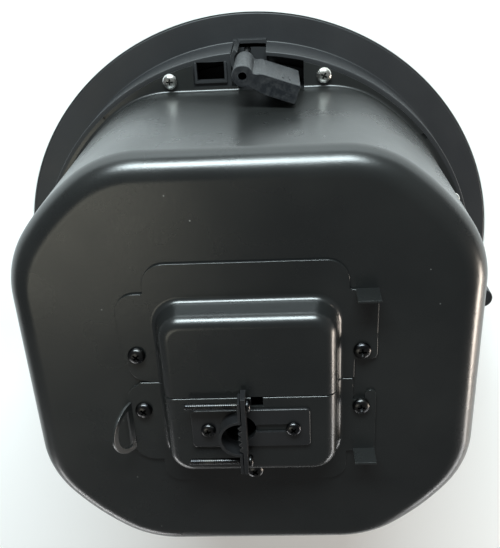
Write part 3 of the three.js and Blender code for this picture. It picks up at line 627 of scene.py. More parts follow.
def make_metal(name, colour, second, rough, brushed=900.0, depth=0.00001):
    """Bare or plated metal: a slow drift of tint, turning marks, small stains and painted shade in the
    hollows.
    """
    finish, tree, shader, spot = new_finish(name, 1.0)
    tint = spread(tree, noise(tree, spot, 130, 4.0), 0.35, 0.65)
    stain = spread(tree, noise(tree, spot, 620, 5.0, 0.65), 0.56, 0.72)
    drift = blend(tree, tint, colour, second)
    dark = tuple(0.45 * v for v in colour[:3]) + (1,)
    stained = blend(tree, work_out(tree, "MULTIPLY", stain, 0.6), drift, dark)
    # Painted shade: the colour darkens in hollows such as a cross recess, where shade falls.
    hollow_shade = tree.nodes.new("ShaderNodeAmbientOcclusion")
    hollow_shade.samples = 6
    hollow_shade.inputs["Distance"].default_value = 1.6 * mm
    painted_shade = spread(tree, hollow_shade.outputs["AO"], 0.45, 0.85, 1, 0)
    painted_shade_colour = tuple(0.06 * v for v in colour[:3]) + (1,)
    tree.links.new(blend(tree, painted_shade, stained, painted_shade_colour), shader.inputs["Base Color"])
    shine = spread(tree, tint, 0, 1, rough, rough + 0.08)
    gloss = work_out(tree, "ADD", shine, work_out(tree, "MULTIPLY", stain, 0.2))
    tree.links.new(gloss, shader.inputs["Roughness"])
    marks = effect(tree, grain_group, spot, Fine=brushed, Swell=brushed / 3, Share=0.6)["Height"]
    bump(tree, shader, marks, depth)
    return finish


def make_nylon():
    """Glass-filled nylon: charcoal, with pale flow streaks along the arm and a coarse grain."""
    finish, tree, shader, spot = new_finish("clamp_nylon", 0.0, 0.45)
    stretch = tree.nodes.new("ShaderNodeMapping")
    stretch.inputs["Scale"].default_value = (1.0, 1.0, 0.25)
    tree.links.new(spot, stretch.inputs["Vector"])
    streak = spread(tree, noise(tree, stretch.outputs["Vector"], 420, 6.0, 0.7), 0.44, 0.74)
    edge_wear_and_sheen = effect(tree, edge_wear_and_sheen_group, spot, Wear=0.55, Reach=0.0005)
    base = blend(tree, streak, (0.0075, 0.0085, 0.0105, 1), (0.026, 0.026, 0.027, 1))
    # Lightened edges: partly wear, partly a painted edge highlight.
    tree.links.new(blend(tree, edge_wear_and_sheen["Mask"], base, (0.12, 0.125, 0.13, 1)), shader.inputs["Base Color"])
    tree.links.new(spread(tree, streak, 0, 1, 0.38, 0.58), shader.inputs["Roughness"])
    grain = effect(tree, grain_group, spot, Fine=1700.0, Swell=600.0, Share=0.8)["Height"]
    bump(tree, shader, grain, 0.00007)
    return finish


zinc = make_metal("zinc_plate", zinc_colour, (0.74, 0.72, 0.66, 1), 0.2)
brass = make_metal("brass", (0.64, 0.45, 0.16, 1), (0.72, 0.52, 0.22, 1), 0.24)
black_metal = make_metal("black_oxide", (0.035, 0.036, 0.04, 1), (0.06, 0.058, 0.055, 1), 0.24)
clamp_nylon = make_nylon()


def cross_recess(radius, top, depth):
    """A cross recess: two crossed wedges that meet in a blunt point."""
    blades = []
    for turn in (0, quarter):
        blade = slab("blade", (-radius, -0.21 * radius, -depth), (radius, 0.21 * radius, mm))
        select_faces(blade, level(-depth))
        bpy.ops.transform.resize(value=(0.35, 0.6, 1), center_override=(0, 0, 0))
        blades.append(place(blade, Matrix.Translation((0, 0, top)) @ Matrix.Rotation(turn, 4, "Z")))
    return combine(blades[0], [blades[1]], "UNION")


def pan_screw(name, head, height, shank, length, pitch=0.0, thread_from=2.0):
    """A pan-head screw that points down, with its head's underside at z = 0, in millimetres."""
    dome = [(head, 0.15), (head, 0.3 * height), (0.93 * head, 0.62 * height), (0.74 * head, 0.86 * height)]
    dome += [(0.45 * head, 0.98 * height), (0, height)]
    profile = [(0, -length), (0.7 * shank, -length), (shank * 0.92, -length + 0.6 * shank)]
    profile += [(shank * 0.92, 0), (head - 0.15, 0), *dome]
    screw = turned(name, profile, 32)
    combine(screw, [cross_recess(0.62 * head * mm, height * mm, 0.62 * height * mm)])
    clean(screw)
    if pitch:
        screw = join([screw, thread(shank, pitch, -length + 0.8, -thread_from)])
    smooth(screw, 35)
    return screw


def thread(radius, pitch, low, high):
    """A screw thread: one closed ridge wound round the shank, in millimetres."""
    ridge = [(0.8 * radius, 0.0), (radius, 0.42 * pitch), (radius, 0.5 * pitch), (0.8 * radius, 0.92 * pitch)]
    piece = outline_plate("thread", [(r * mm, 0.0) for r, z in ridge], 0.0)
    for vertex, (r, z) in zip(piece.data.vertices, ridge):
        vertex.co.z = (low + z) * mm
    work_on(piece)
    wind = piece.modifiers.new("wind", "SCREW")
    wind.screw_offset = pitch * mm
    wind.iterations = max(1, round((high - low) / pitch) - 1)
    wind.steps = wind.render_steps = 16
    wind.use_merge_vertices = True
    bpy.ops.object.modifier_apply(modifier=wind.name)
    return clean(piece)


def arm_shape():
    boss = turned(
        "boss", [(0, 44), (4.7, 44), (5.1, 44.4), *arc(4.6, 79.5, 0.5, 0, 90, 4), (0, 80)], 48
    )
    inner = arm_inner / mm
    outer = arm_outer / mm
    corners = [*arc(26.7, outer - 0.8, 0.8, 90, 0, 4), *arc(26.7, inner + 0.8, 0.8, 0, -90, 4)]
    dip = [(12.5, inner), (10.2, inner + 0.25), (7.6, inner + 0.95), (5.2, inner + 1.15), (3.2, inner + 0.9)]
    neck = [(0, -2), (0, 2.4), (3.6, 3.1), (4.6, 2.9), (5.8, 3.0), (7.2, outer - 0.25), (9, outer)]
    bar = prism("bar", [(x * mm, y * mm) for x, y in corners + dip + neck], arm_bottom, arm_top, 0.45 * mm, 3)
    bar_foot = slab(
        "foot", (9 * mm, arm_inner - mm, arm_bottom - mm), (40 * mm, arm_outer + mm, arm_bottom + 0.7 * mm)
    )
    combine(bar, [place(bar_foot, Matrix.Rotation(-0.012, 4, "Y"))])
    arm = combine(boss, [bar], "UNION")
    ticks = []
    for k in range(2):
        low = (arm_length - (9.4 - 3.4 * k) * mm, arm_outer - 0.4 * mm, arm_top - 12 * mm)
        high = (arm_length - (8.3 - 3.4 * k) * mm, arm_outer + 0.35 * mm, arm_top - 5 * mm)
        ticks.append(slab("tick", low, high, 0.2 * mm))
    combine(arm, ticks, "UNION")
    bore = rod("bore", 0, 0, arm_bottom - mm, arm_top + mm, 2 * mm, 32)
    pocket = rod("pocket", 0, 0, arm_bottom - mm, nut_high + 0.6 * mm, 3.5 * mm, 40)
    combine(arm, [bore, pocket])
    clean(arm)
    smooth(arm, 30)
    return arm


def nut_shape():
    knurl = [on_circle((3.2 if k % 2 else 3.0) * mm, 360 * k / 56) for k in range(56)]
    nut = prism("nut", knurl, nut_low, nut_high, 0.2 * mm, 2)
    combine(nut, [rod("bore", 0, 0, nut_low - mm, nut_high + mm, 2 * mm, 24)])
    smooth(clean(nut), 30)
    return nut


def build_clamps():
    screw = pan_screw("screw", 3.6, 2.2, 1.7, 52.2, 1.2, 12)
    place(screw, Matrix.Translation((0, 0, 5.5 * mm)) @ Matrix.Rotation(math.pi, 4, "X"))
    shapes = {"arm": arm_shape(), "nut": nut_shape(), "screw": screw}
    dress = {
        "arm": ("clamp_plastic", clamp_nylon, arm_angle),
        "nut": ("brass", brass, 0.3),
        "screw": ("black_screw", black_metal, 0.5),
    }
    for side in range(4):
        stand = Matrix.Rotation(-side * quarter, 4, "Z") @ Matrix.Translation((0, clamp_radius, 0))
        for kind, shape in shapes.items():
            slot, finish, turn = dress[kind]
            piece = place(twin(shape, f"clamp_{kind}_{side + 1}_fine"), stand @ Matrix.Rotation(turn, 4, "Z"))
            settle(piece, f"clamp_{kind}_{side + 1}_body", slot, finish, f"clamp_{kind}_{side + 1}")
    for shape in shapes.values():
        bpy.data.objects.remove(shape)


build_clamps()

# ---- Driver -----------------------------------------------------------------------------------------------
# A 6.5 inch two-way driver is screwed into the front plate on a foam gasket: a moulded basket, a ferrite
# magnet between two plated steel plates, a pressed-fibre cone on a rubber surround and a treated-cloth
# spider, and a small dome tweeter on a post through the magnet.
driver_screw_reach = 78 * mm

rubber = skin("black_rubber", (0.009, 0.009, 0.01), (0.015, 0.015, 0.016), (0.68, 0.8), 1500, 0.00008, 0.3)
ferrite = skin(
    "ferrite", (0.04, 0.041, 0.045), (0.07, 0.07, 0.075), (0.55, 0.7), 900, 0.0001, 0.5, 0.25, 0.2, 0.6
)
silk = skin("coated_silk", (0.045, 0.04, 0.036), (0.07, 0.062, 0.055), (0.6, 0.75), 3800, 0.00006, 0.3)


def make_cone_fibre():
    """Pressed paper: long fibres lie in all directions in a charcoal pulp."""
    finish, tree, shader, spot = new_finish("cone_fibre", 0.0, 0.25)
    fibres = tree.nodes.new("ShaderNodeTexWave")
    fibres.inputs["Scale"].default_value = 160
    fibres.inputs["Distortion"].default_value = 22
    fibres.inputs["Detail"].default_value = 4
    tree.links.new(spot, fibres.inputs["Vector"])
    strand = spread(tree, fibres.outputs["Fac"], 0.75, 1.0)
    pulp = blend(tree, strand, (0.017, 0.017, 0.019, 1), (0.05, 0.05, 0.052, 1))
    tree.links.new(pulp, shader.inputs["Base Color"])
    tree.links.new(spread(tree, strand, 0, 1, 0.8, 0.65), shader.inputs["Roughness"])
    bump(tree, shader, fibres.outputs["Fac"], 0.00012)
    return finish


cone_fibre = make_cone_fibre()


def build_basket():
    profile = [(66, 3.2), (82.6, 3.2), (83, 3.6), (83, 5.3), (82.6, 5.7), (72, 5.7), (72, 11.7), (46, 54)]
    profile += [(46, 56), (25, 56), (25, 54), (43, 54), (69, 10.7), (69, 5.7), (66, 5.7)]
    basket = turned("basket", profile, 96)
    windows = []
    for k in range(4):
        window = slab("window", (-26 * mm, 43 * mm, 18.9 * mm), (26 * mm, 103 * mm, 44.8 * mm), 4 * mm)
        windows.append(place(window, Matrix.Rotation((k + 0.5) * quarter, 4, "Z")))
    holes = [rod("hole", *on_circle(driver_screw_reach, 90 * k), 0, 7 * mm, 1.9 * mm, 20) for k in range(4)]
    combine(basket, [join(windows), join(holes)])
    smooth(clean(basket))
    settle(basket, "root", "black_plastic", black_plastic, "driver_basket")


def build_driver():
    build_basket()
    gasket = turned("foam_gasket", [(73.5, 6), (82.5, 6), (82.5, 6.7), (73.5, 6.7)], 96)
    holes = [rod("hole", *on_circle(driver_screw_reach, 90 * k), 0, 8 * mm, 1.9 * mm, 16) for k in range(4)]
    combine(gasket, [join(holes)])
    smooth(clean(gasket))
    settle(gasket, "root", "black_rubber", rubber, "driver_gasket")
    plates = [(0, 56.3), (40.6, 56.3), (41, 56.7), (41, 61.2), (44.4, 61.5), (45, 62.1), (45, 75.6)]
    plates += [(44.4, 76.3), (41, 76.5), (41, 81.4), (40.4, 82), (0, 82)]
    magnet = turned("magnet", plates, 96)
    combine(magnet, [turned("slot", [(14.8, 50), (17.3, 50), (17.3, 76), (14.8, 76)], 64)])
    combine(magnet, [rod("post", 0, 0, 20 * mm, 57 * mm, 5 * mm, 40)], "UNION")
    smooth(clean(magnet))
    settle(magnet, "root", "ferrite", ferrite, "driver_magnet")
    ribs = [(57 - 14 * t, 7.6 + 11.1 * t**0.9) for t in (0.2, 0.4, 0.6, 0.8, 1.0)]
    cone_profile = [(15.1, 40.2), (57, 7.2), (57, 8.1), *ribs, (16.9, 42.7), (16.9, 67.2), (15.1, 67.2)]
    cone = turned("cone", cone_profile, 96)
    smooth(cone, 40)
    settle(cone, "cone", "cone_fibre", cone_fibre, "woofer_cone")
    roll = [(57.3, 7.2), (59, 7.1), *arc(62, 7.0, 2.6, 200, 340, 10), (65, 6.6), (65.7, 6.4), (65.7, 7.2)]
    roll += [(64.9, 7.4), *arc(62, 7.2, 2.0, 335, 205, 10), (59, 7.9), (57.3, 8.0)]
    surround = turned("surround", roll, 96)
    smooth(surround, 50)
    settle(surround, "root", "black_rubber", rubber, "woofer_surround")
    waves = [(17.2 + 15.8 * t / 24, 48.6 + 0.55 * math.sin(t * math.pi / 2)) for t in range(25)]
    spider_profile = [(r, z) for r, z in waves] + [(r, z + 0.5) for r, z in reversed(waves)]
    spider = turned("spider", spider_profile, 96)
    smooth(spider, 50)
    settle(spider, "root", "cone_fibre", cone_fibre, "spider")
    shell = [(10.5, 6), (12, 4.6), (14.6, 4), (16.5, 4.2), (17, 4.8), (17, 13), (14, 16), (8, 19.7)]
    tweeter = turned("tweeter", [*shell, (0, 19.7), (0, 14), (10.5, 14)], 64)
    smooth(tweeter)
    settle(tweeter, "root", "black_plastic", black_plastic, "tweeter_housing")
    dome = [(0, 13.7), (0, 5.2), *arc(0, 13.9, 8.7, -80, -20, 10), (9.4, 10.4), (10.2, 10.2), (10.2, 13.7)]
    tweeter_dome = turned("tweeter_dome", dome, 64)
    smooth(tweeter_dome, 45)
    settle(tweeter_dome, "root", "silk", silk, "tweeter_dome")
    screw = pan_screw("screw", 3, 1.4, 1.6, 9, 1.0, 1.5)
    for k in range(4):
        spot = Matrix.Translation((*on_circle(driver_screw_reach, 90 * k), 2.9 * mm))
        piece = place(twin(screw, f"driver_screw_{k + 1}_fine"), spot @ Matrix.Rotation(math.pi, 4, "X"))
        settle(piece, "root", "black_screw", black_metal, f"driver_screw_{k + 1}")
    bpy.data.objects.remove(screw)


build_driver()

# ---- Port and tap selector --------------------------------------------------------------------------------
# A flared ABS port tube and a five-way tap selector sit either side of the driver. The selector's knob is
# turned with a screwdriver once the grille is off.
port_spot = on_circle(port_reach, 135)
knob_spot = on_circle(port_reach, 45)


def build_port_and_selector():
    lip = [(10, 62), (10, 9.4), *arc(12.9, 8.1, 2.9, 180, 270, 5), (13.8, 5.2), (13.8, 6.7), (12, 6.7)]
    port = turned("port", [*lip, (12, 61.6), (11.6, 62)], 64, port_spot)
    smooth(port)
    settle(port, "root", "black_plastic", black_plastic, "port_tube")
    ribs = [on_circle(12 * mm if k % 4 else 11.6 * mm, 360 * k / 80) for k in range(80)]
    switch = prism("switch", ribs, 9.8 * mm, 23.5 * mm, 0.6 * mm)
    combine(switch, [rod("bore", 0, 0, 9 * mm, 24 * mm, 3.3 * mm, 32)])
    smooth(place(switch, Matrix.Translation((*knob_spot, 0))))
    settle(switch, "root", "black_plastic", black_plastic, "tap_selector_switch")
    grip = [on_circle((9 if k % 3 else 8.6) * mm, 360 * k / 72) for k in range(72)]
    knob = prism("knob", grip, 3.2 * mm, 6.7 * mm)
    select_seams(knob, level(3.2 * mm), upright)
    bpy.ops.mesh.bevel(offset=0.4 * mm, segments=2, affect="EDGES")
    combine(knob, [rod("shaft", 0, 0, 6 * mm, 19.5 * mm, 3 * mm, 40)], "UNION")
    slot = slab("slot", (-0.8 * mm, 1.5 * mm, 2 * mm), (0.8 * mm, 10 * mm, 4.4 * mm))
    driver_slot = slab("driver_slot", (-4 * mm, -0.6 * mm, 2 * mm), (4 * mm, 0.6 * mm, 4.2 * mm))
    combine(knob, [slot, driver_slot])
    smooth(place(clean(knob), Matrix.Translation((*knob_spot, 0))))
    settle(knob, "tap_knob", "clamp_plastic", clamp_nylon, "tap_selector_knob")


build_port_and_selector()

# ---- Back can ---------------------------------------------------------------------------------------------
# A deep can drawn from 1 mm steel: a circle cut by four flats, with a wide rounded shoulder at the rear and
# a thin flange round its mouth, let out for the windows and the clamps. It is powder coated in satin black,
# sits on a foam gasket, and is lined with acoustic foam.
can_wall = 1 * mm
can_shoulder = 11.5 * mm
can_mouth = 35.5 * mm
can_rear = 148 * mm
lip_top = 36.5 * mm
lip_narrow = 2.2 * mm
lip_step = -27.9 * mm
lip_end = -4.5 * mm
lip_foot = 1.6 * mm
lip_width = 3.2 * mm
screw_hole = 2.2 * mm
flange_edge = 122.3 * mm
opening_half = 35 * mm
opening_low = -40 * mm
opening_high = 36 * mm
opening_corner = 7 * mm
cover_screw_places = [(-50.3, 14.5), (50.3, 14.5), (-50.3, -15.5), (50.3, -15.5), (0, -52.5)]
lining_low = 66 * mm
lining_high = 132 * mm

foam = skin(
    "damping_foam", (0.02, 0.02, 0.021), (0.045, 0.045, 0.047), (0.9, 0.97), 700, 0.0008, 0.15, dust=0.2
)


def make_powder_coat():
    """Satin powder coat: orange peel, edges lightened by wear and by a painted edge highlight, thin haze and
    settled dust.
    """
    finish, tree, shader, spot = new_finish("black_powder_coat", 0.0, 0.6)
    settled = effect(tree, dust_group, spot, Amount=0.6)
    edge_wear_and_sheen = effect(tree, edge_wear_and_sheen_group, spot, Wear=0.35, Reach=0.0003)
    slow = spread(tree, noise(tree, spot, 11, 3.0), 0.3, 0.7)
    tone = blend(tree, slow, (0.0065, 0.007, 0.0072, 1), (0.0105, 0.0112, 0.011, 1))
    hazed = blend(tree, work_out(tree, "MULTIPLY", settled["Haze"], 0.1), tone, (0.09, 0.088, 0.078, 1))
    # Lightened edges: partly wear, partly a painted edge highlight.
    wear_and_sheen = blend(tree, edge_wear_and_sheen["Mask"], hazed, (0.1, 0.103, 0.105, 1))
    dusty = blend(tree, settled["Specks"], wear_and_sheen, (0.36, 0.35, 0.33, 1))
    tree.links.new(dusty, shader.inputs["Base Color"])
    gloss = spread(tree, noise(tree, spot, 30, 4.0), 0.3, 0.7, 0.24, 0.3)
    dull = work_out(tree, "MULTIPLY", settled["Haze"], 0.07)
    tree.links.new(work_out(tree, "ADD", gloss, dull), shader.inputs["Roughness"])
    peel = effect(tree, grain_group, spot, Fine=1900.0, Swell=520.0, Share=1.2)["Height"]
    bump(tree, shader, peel, 0.00005, 0.4)
    return finish


powder_coat = make_powder_coat()


def rounded(corners, steps=8):
    """An outline through corners (x, y, radius), each rounded by a true arc."""
    points = []
    for i, (x, y, radius) in enumerate(corners):
        here = Vector((x, y))
        if radius == 0:
            points.append((x, y))
            continue
        back = (Vector(corners[i - 1][:2]) - here).normalized()
        onward = (Vector(corners[(i + 1) % len(corners)][:2]) - here).normalized()
        half = back.angle(onward) / 2
        centre = here + (back + onward).normalized() * radius / math.sin(half)
        start = here + back * radius / math.tan(half) - centre
        end = here + onward * radius / math.tan(half) - centre
        turn = math.atan2(start.x * end.y - start.y * end.x, start.dot(end))
        for step in range(steps + 1):
            arm = Matrix.Rotation(turn * step / steps, 2) @ start
            points.append((centre.x + arm.x, centre.y + arm.y))
    return points


def four_corners(left, right, low, high, radius, steps=8):
    places = ((left, low), (right, low), (right, high), (left, high))
    return rounded([(x, y, radius) for x, y in places], steps)


def lip_cuts():
    """What the round flange leaves open: the clamp's way, and the room behind a window."""
    way = slab("way", (lip_end, can_flat + 0.05 * mm, can_mouth - mm), (pocket_right, 0.14, lip_top + 2 * mm))
    back_room = slab(
        "back_room", (lip_step, can_flat + lip_narrow, can_mouth - mm), (lip_end + mm, 0.14, lip_top + 2 * mm)
    )
    return four_round(combine(way, [back_room], "UNION"))


def cover_screw_holes(low, high):
    holes = [rod("hole", x * mm, y * mm, low, high, screw_hole, 24) for x, y in cover_screw_places]
    return join(holes)


def build_can():
    pan = outline_plate("can", can_outline(lip_width), lip_top)
    select_faces(pan, lambda face: True)
    bpy.ops.mesh.inset(thickness=lip_width, depth=0)
    lift(can_rear - lip_top)
    select_seams(pan, level(can_rear), upright)
    bpy.ops.mesh.bevel(offset=can_shoulder, segments=14, affect="EDGES")
    select_seams(pan, level(lip_top), upright)
    bpy.ops.mesh.bevel(offset=lip_foot, segments=6, affect="EDGES")
    clean(pan)
    wall = pan.modifiers.new("wall", "SOLIDIFY")
    wall.thickness = can_wall
    wall.offset = -1
    wall.use_even_offset = True
    bpy.ops.object.modifier_apply(modifier=wall.name)
    flange = rod("flange", 0, 0, can_mouth, lip_top, flange_edge, 160)
    combine(flange, [prism("inside", can_outline(1.6 * mm), can_mouth - mm, lip_top + mm)])
    combine(pan, [flange], "UNION")
    gap = four_corners(-opening_half, opening_half, opening_low, opening_high, opening_corner)
    opening = prism("opening", gap, can_rear - 3 * mm, can_rear + mm)
    screw_holes = both_sides(
        lambda x: rod("hole", x, can_screw_y, can_mouth - mm, lip_top + mm, screw_hole, 20)
    )
    combine(pan, [lip_cuts(), opening, cover_screw_holes(can_rear - 3 * mm, can_rear + mm), screw_holes])
    clean(pan)
    smooth(pan, 28)
    settle(pan, "root", "black_powder_coat", powder_coat, "back_can")


def build_lining_and_gasket():
    gasket = wall_between("gasket", can_outline(-can_wall), can_outline(chamber_in), 34.3 * mm, 35.2 * mm)
    smooth(gasket)
    settle(gasket, "root", "black_rubber", rubber, "can_gasket")
    outer = can_outline(-can_wall - 0.6 * mm, 16)
    wave = []
    for i, (x, y) in enumerate(can_outline(-can_wall - 8.4 * mm, 16)):
        swell = 1 + 0.011 * math.sin(i * math.pi / 2)
        wave.append((x * swell, y * swell))
    lining = wall_between("lining", outer, wave, lining_low, lining_high)
    smooth(lining, 60)
    settle(lining, "root", "damping_foam", foam, "damping_lining")


build_can()
build_lining_and_gasket()

# ---- Can screws -------------------------------------------------------------------------------------------
# Eight zinc-plated pan-head screws with cross recesses and rolled threads, two to each flat, hold the
# can's flange down on the shelf. Each is turned to its own angle.


def build_can_screws():
    screw = pan_screw("screw", 4, 2.5, 1.9, 10, 1.3, 1.0)
    for side in range(4):
        for hand, x in ((0, -can_screw_x), (1, can_screw_x)):
            number = 2 * side + hand + 1
            spot = Matrix.Translation((x, can_screw_y, lip_top + air))
            turn = Matrix.Rotation(0.45 + 1.1 * number, 4, "Z")
            name = f"can_screw_{number}"
            piece = place(twin(screw, name + "_fine"), Matrix.Rotation(side * quarter, 4, "Z") @ spot @ turn)
            settle(piece, "root", "zinc_screw", zinc, name)
    bpy.data.objects.remove(screw)


build_can_screws()

# ---- Terminal cup, terminals, transformer and crossover ----------------------------------------------------
# Behind the covers a moulded cup closes the can and carries a four-way ceramic terminal block. Inside the
# can hang a laminated line transformer and a small crossover board with its coil, capacitor and resistor.
cup_low = 123 * mm
cup_wall = 2 * mm
block_low = 125.3 * mm
terminal_pitch = 12 * mm
rear_inside = 147 * mm
ceramic = skin(
    "terminal_ceramic", (0.62, 0.59, 0.52), (0.74, 0.71, 0.64), (0.3, 0.42), 1300, 0.00003, 0.5,
    dust=0.2, wear_and_sheen_amount=0.2, wear_and_sheen_colour=(0.5, 0.47, 0.4)
)


def make_laminations():
    """Stacked steel sheets: fine lines across the stack, with a thin dark varnish between them."""
    finish, tree, shader, spot = new_finish("laminated_steel", 0.9)
    lines = tree.nodes.new("ShaderNodeTexWave")
    lines.bands_direction = "Y"
    lines.inputs["Scale"].default_value = 320
    lines.inputs["Distortion"].default_value = 0.6
    tree.links.new(spot, lines.inputs["Vector"])
    sheet = spread(tree, lines.outputs["Fac"], 0.25, 0.6)
    varnish = spread(tree, noise(tree, spot, 90, 4.0), 0.4, 0.7)
    steel = blend(tree, varnish, (0.24, 0.25, 0.26, 1), (0.13, 0.11, 0.08, 1))
    tree.links.new(blend(tree, sheet, (0.03, 0.026, 0.02, 1), steel), shader.inputs["Base Color"])
    tree.links.new(spread(tree, varnish, 0, 1, 0.32, 0.5), shader.inputs["Roughness"])
    bump(tree, shader, lines.outputs["Fac"], 0.0001)
    return finish


def make_circuit_board():
    """Green solder mask over copper: tracks show as a lighter, slightly raised pattern."""
    finish, tree, shader, spot = new_finish("circuit_board", 0.0, 0.5)
    tracks = tree.nodes.new("ShaderNodeTexBrick")
    tracks.inputs["Scale"].default_value = 130
    tracks.inputs["Mortar Size"].default_value = 0.16
    tree.links.new(spot, tracks.inputs["Vector"])
    copper = tracks.outputs["Fac"]
    mask_green = blend(tree, copper, (0.01, 0.075, 0.03, 1), (0.03, 0.16, 0.06, 1))
    tree.links.new(mask_green, shader.inputs["Base Color"])
    tree.links.new(spread(tree, noise(tree, spot, 60, 3.0), 0.3, 0.7, 0.22, 0.34), shader.inputs["Roughness"])
    bump(tree, shader, copper, 0.00004)
    return finish


laminations = make_laminations()
circuit_board = make_circuit_board()


def cup_outline(inwards):
    low, high = opening_low + 0.5 * mm + inwards, opening_high - 0.5 * mm - inwards
    half = opening_half - 0.5 * mm - inwards
    return four_corners(-half, half, low, high, opening_corner - inwards)


def build_cup():
    cup = prism("cup", cup_outline(0), cup_low, can_rear - air)
    select_seams(cup, level(cup_low), upright)
    bpy.ops.mesh.bevel(offset=1.5 * mm, segments=3, affect="EDGES")
    rim = prism("rim", cup_outline(-4.5 * mm), rear_inside - 2.3 * mm, rear_inside - air, 0.4 * mm)
    combine(cup, [rim], "UNION")
    combine(cup, [prism("inside", cup_outline(cup_wall), cup_low + cup_wall, can_rear + mm)])
    smooth(clean(cup))
    settle(cup, "root", "black_plastic", black_plastic, "terminal_cup")
    block = slab("block", (-24 * mm, 6 * mm, block_low), (24 * mm, 24 * mm, block_low + 16 * mm), 0.8 * mm)
    wells = []
    for k in range(4):
        x = (k - 1.5) * terminal_pitch
        wells.append(rod("well", x, 15 * mm, block_low + 8 * mm, can_rear, 3 * mm, 32))
    grooves = []
    for k in (-1, 0, 1):
        x = k * terminal_pitch
        corner = (x + 0.5 * mm, 26 * mm, can_rear)
        grooves.append(slab("groove", (x - 0.5 * mm, 4 * mm, block_low + 12 * mm), corner))
    combine(block, [join(wells), join(grooves)])
    smooth(clean(block))
    settle(block, "root", "terminal_white", ceramic, "terminal_block")


def block(name, x, y, low, high, edge):
    """A block between two places along each of X and Y, in millimetres."""
    return slab(name, (x[0] * mm, y[0] * mm, low), (x[1] * mm, y[1] * mm, high), edge)


def build_transformer_and_crossover():
    core_low = rear_inside - 39 * mm
    core = block("core", (-26, 26), (54, 86), core_low, core_low + 34 * mm, 0.5 * mm)
    coil = block("coil", (-17, 17), (46, 91), core_low + 4 * mm, core_low + 30 * mm, 4 * mm)
    strap = block("strap", (-30, 30), (60, 80), core_low + 33 * mm, rear_inside - air, 0.4 * mm)
    transformer = combine(core, [coil, strap], "UNION")
    smooth(clean(transformer))
    settle(transformer, "root", "steel_core", laminations, "line_transformer")
    board_top = rear_inside - 8 * mm
    board = block("board", (-45, 45), (-90, -50), board_top - 1.6 * mm, board_top, 0.2 * mm)
    rail_top = rear_inside - air
    parts = [block("rail", (x - 3, x + 3), (-86, -54), board_top - mm, rail_top, 0.4 * mm) for x in (-40, 40)]
    bobbin = [(4, 121), (13, 121), (13, 123), (11, 124), (11, 136), (13, 137), (13, 138), (4, 138)]
    parts.append(turned("choke", bobbin, 64, (-20 * mm, -70 * mm)))
    can = [(0, 117), (6.4, 117), (7, 117.6), (7, 138), (0, 138)]
    parts.append(turned("capacitor", can, 48, (24 * mm, -78 * mm)))
    parts.append(block("resistor", (12, 38), (-66, -54), 123 * mm, 138 * mm, mm))
    combine(board, parts, "UNION")
    smooth(clean(board))
    settle(board, "root", "circuit_board", circuit_board, "crossover_board")


build_cup()
build_transformer_and_crossover()

# ---- Terminal covers --------------------------------------------------------------------------------------
# Two halves pressed from 1.2 mm steel make a shallow box over the terminals, with a wide flat rim. Each has
# a tab folded up at the right; the lower one carries the safety-wire eye and the cable hole. Five black
# screws hold them, and they are powder coated like the can.
sheet_low = 148.3 * mm
sheet_top = 149.5 * mm
sheet_wall = 1.2 * mm
sheet_edge = 0.45 * mm
box_top = 162.7 * mm
box_half = 40 * mm
box_low = -45 * mm
box_high = 41 * mm
box_corner = 11 * mm
split_at = -0.5 * mm
split_gap = 0.3 * mm
tab_left = 47 * mm
tab_right = 57.1 * mm
tab_top = 160 * mm
cable_at = (-4.6 * mm, -16.4 * mm)
cable_hole = 7 * mm
base_screw_x = 19 * mm
upper_plate = [(-46.5, -20, 0), (47, -20, 0), (47, 9.5, 1), (57.1, 9.5, 2.5), (57.1, 44.6, 0.4)]
upper_plate += [(44.5, 44.6, 1), (44.5, 59, 10), (-44.5, 59, 10), (-44.5, 45, 1), (-58, 45, 9)]
upper_plate += [(-57, 16, 6), (-53, 0, 8), (-46.5, 0, 0)]
lower_plate = [(-48, -1, 8), (-57.3, -4, 8), (-57.5, -45, 10), (-43.7, -45, 0.5), (-43.7, -58.4, 8)]
lower_plate += [(43.7, -58.4, 8), (43.7, -42, 0.5), (57.1, -42, 0.4), (57.1, -7.6, 2.4), (52.2, -7.6, 2.4)]
lower_plate += [(52.2, -13, 1), (46.5, -13, 1), (46.5, 20, 0), (-48, 20, 0)]


def in_mm(corners):
    return rounded([(x * mm, y * mm, radius * mm) for x, y, radius in corners])


def box_outline(inwards, corner=box_corner):
    half = box_half - inwards
    return four_corners(-half, half, box_low + inwards, box_high - inwards, corner, 10)


def pressed_box():
    """The box as one thin pressing: soft foot, leaning wall, soft shoulder, flat top."""
    pan = outline_plate("pan", box_outline(-4 * mm, box_corner + 4 * mm), sheet_top)
    select_faces(pan, lambda face: True)
    bpy.ops.mesh.inset(thickness=4 * mm, depth=0)
    lift(box_top - sheet_top)
    squeeze = (1 - 2.2 * mm / box_half, 1 - 2.2 * mm / box_half, 1)
    bpy.ops.transform.resize(value=squeeze, center_override=(0, (box_low + box_high) / 2, 0))
    select_seams(pan, level(box_top), lambda face: abs(face.normal.z) < 0.5)
    bpy.ops.mesh.bevel(offset=4.6 * mm, segments=9, affect="EDGES")
    select_seams(pan, level(sheet_top), lambda face: abs(face.normal.z) < 0.5)
    bpy.ops.mesh.bevel(offset=2.4 * mm, segments=7, affect="EDGES")
    clean(pan)
    wall = pan.modifiers.new("wall", "SOLIDIFY")
    wall.thickness = sheet_wall
    wall.offset = -1
    wall.use_even_offset = True
    bpy.ops.object.modifier_apply(modifier=wall.name)
    return pan


def folded_tab(low_y, high_y):
    return slab("tab", (tab_left, low_y, sheet_low + 0.1 * mm), (tab_right, high_y, tab_top), 0.3 * mm)


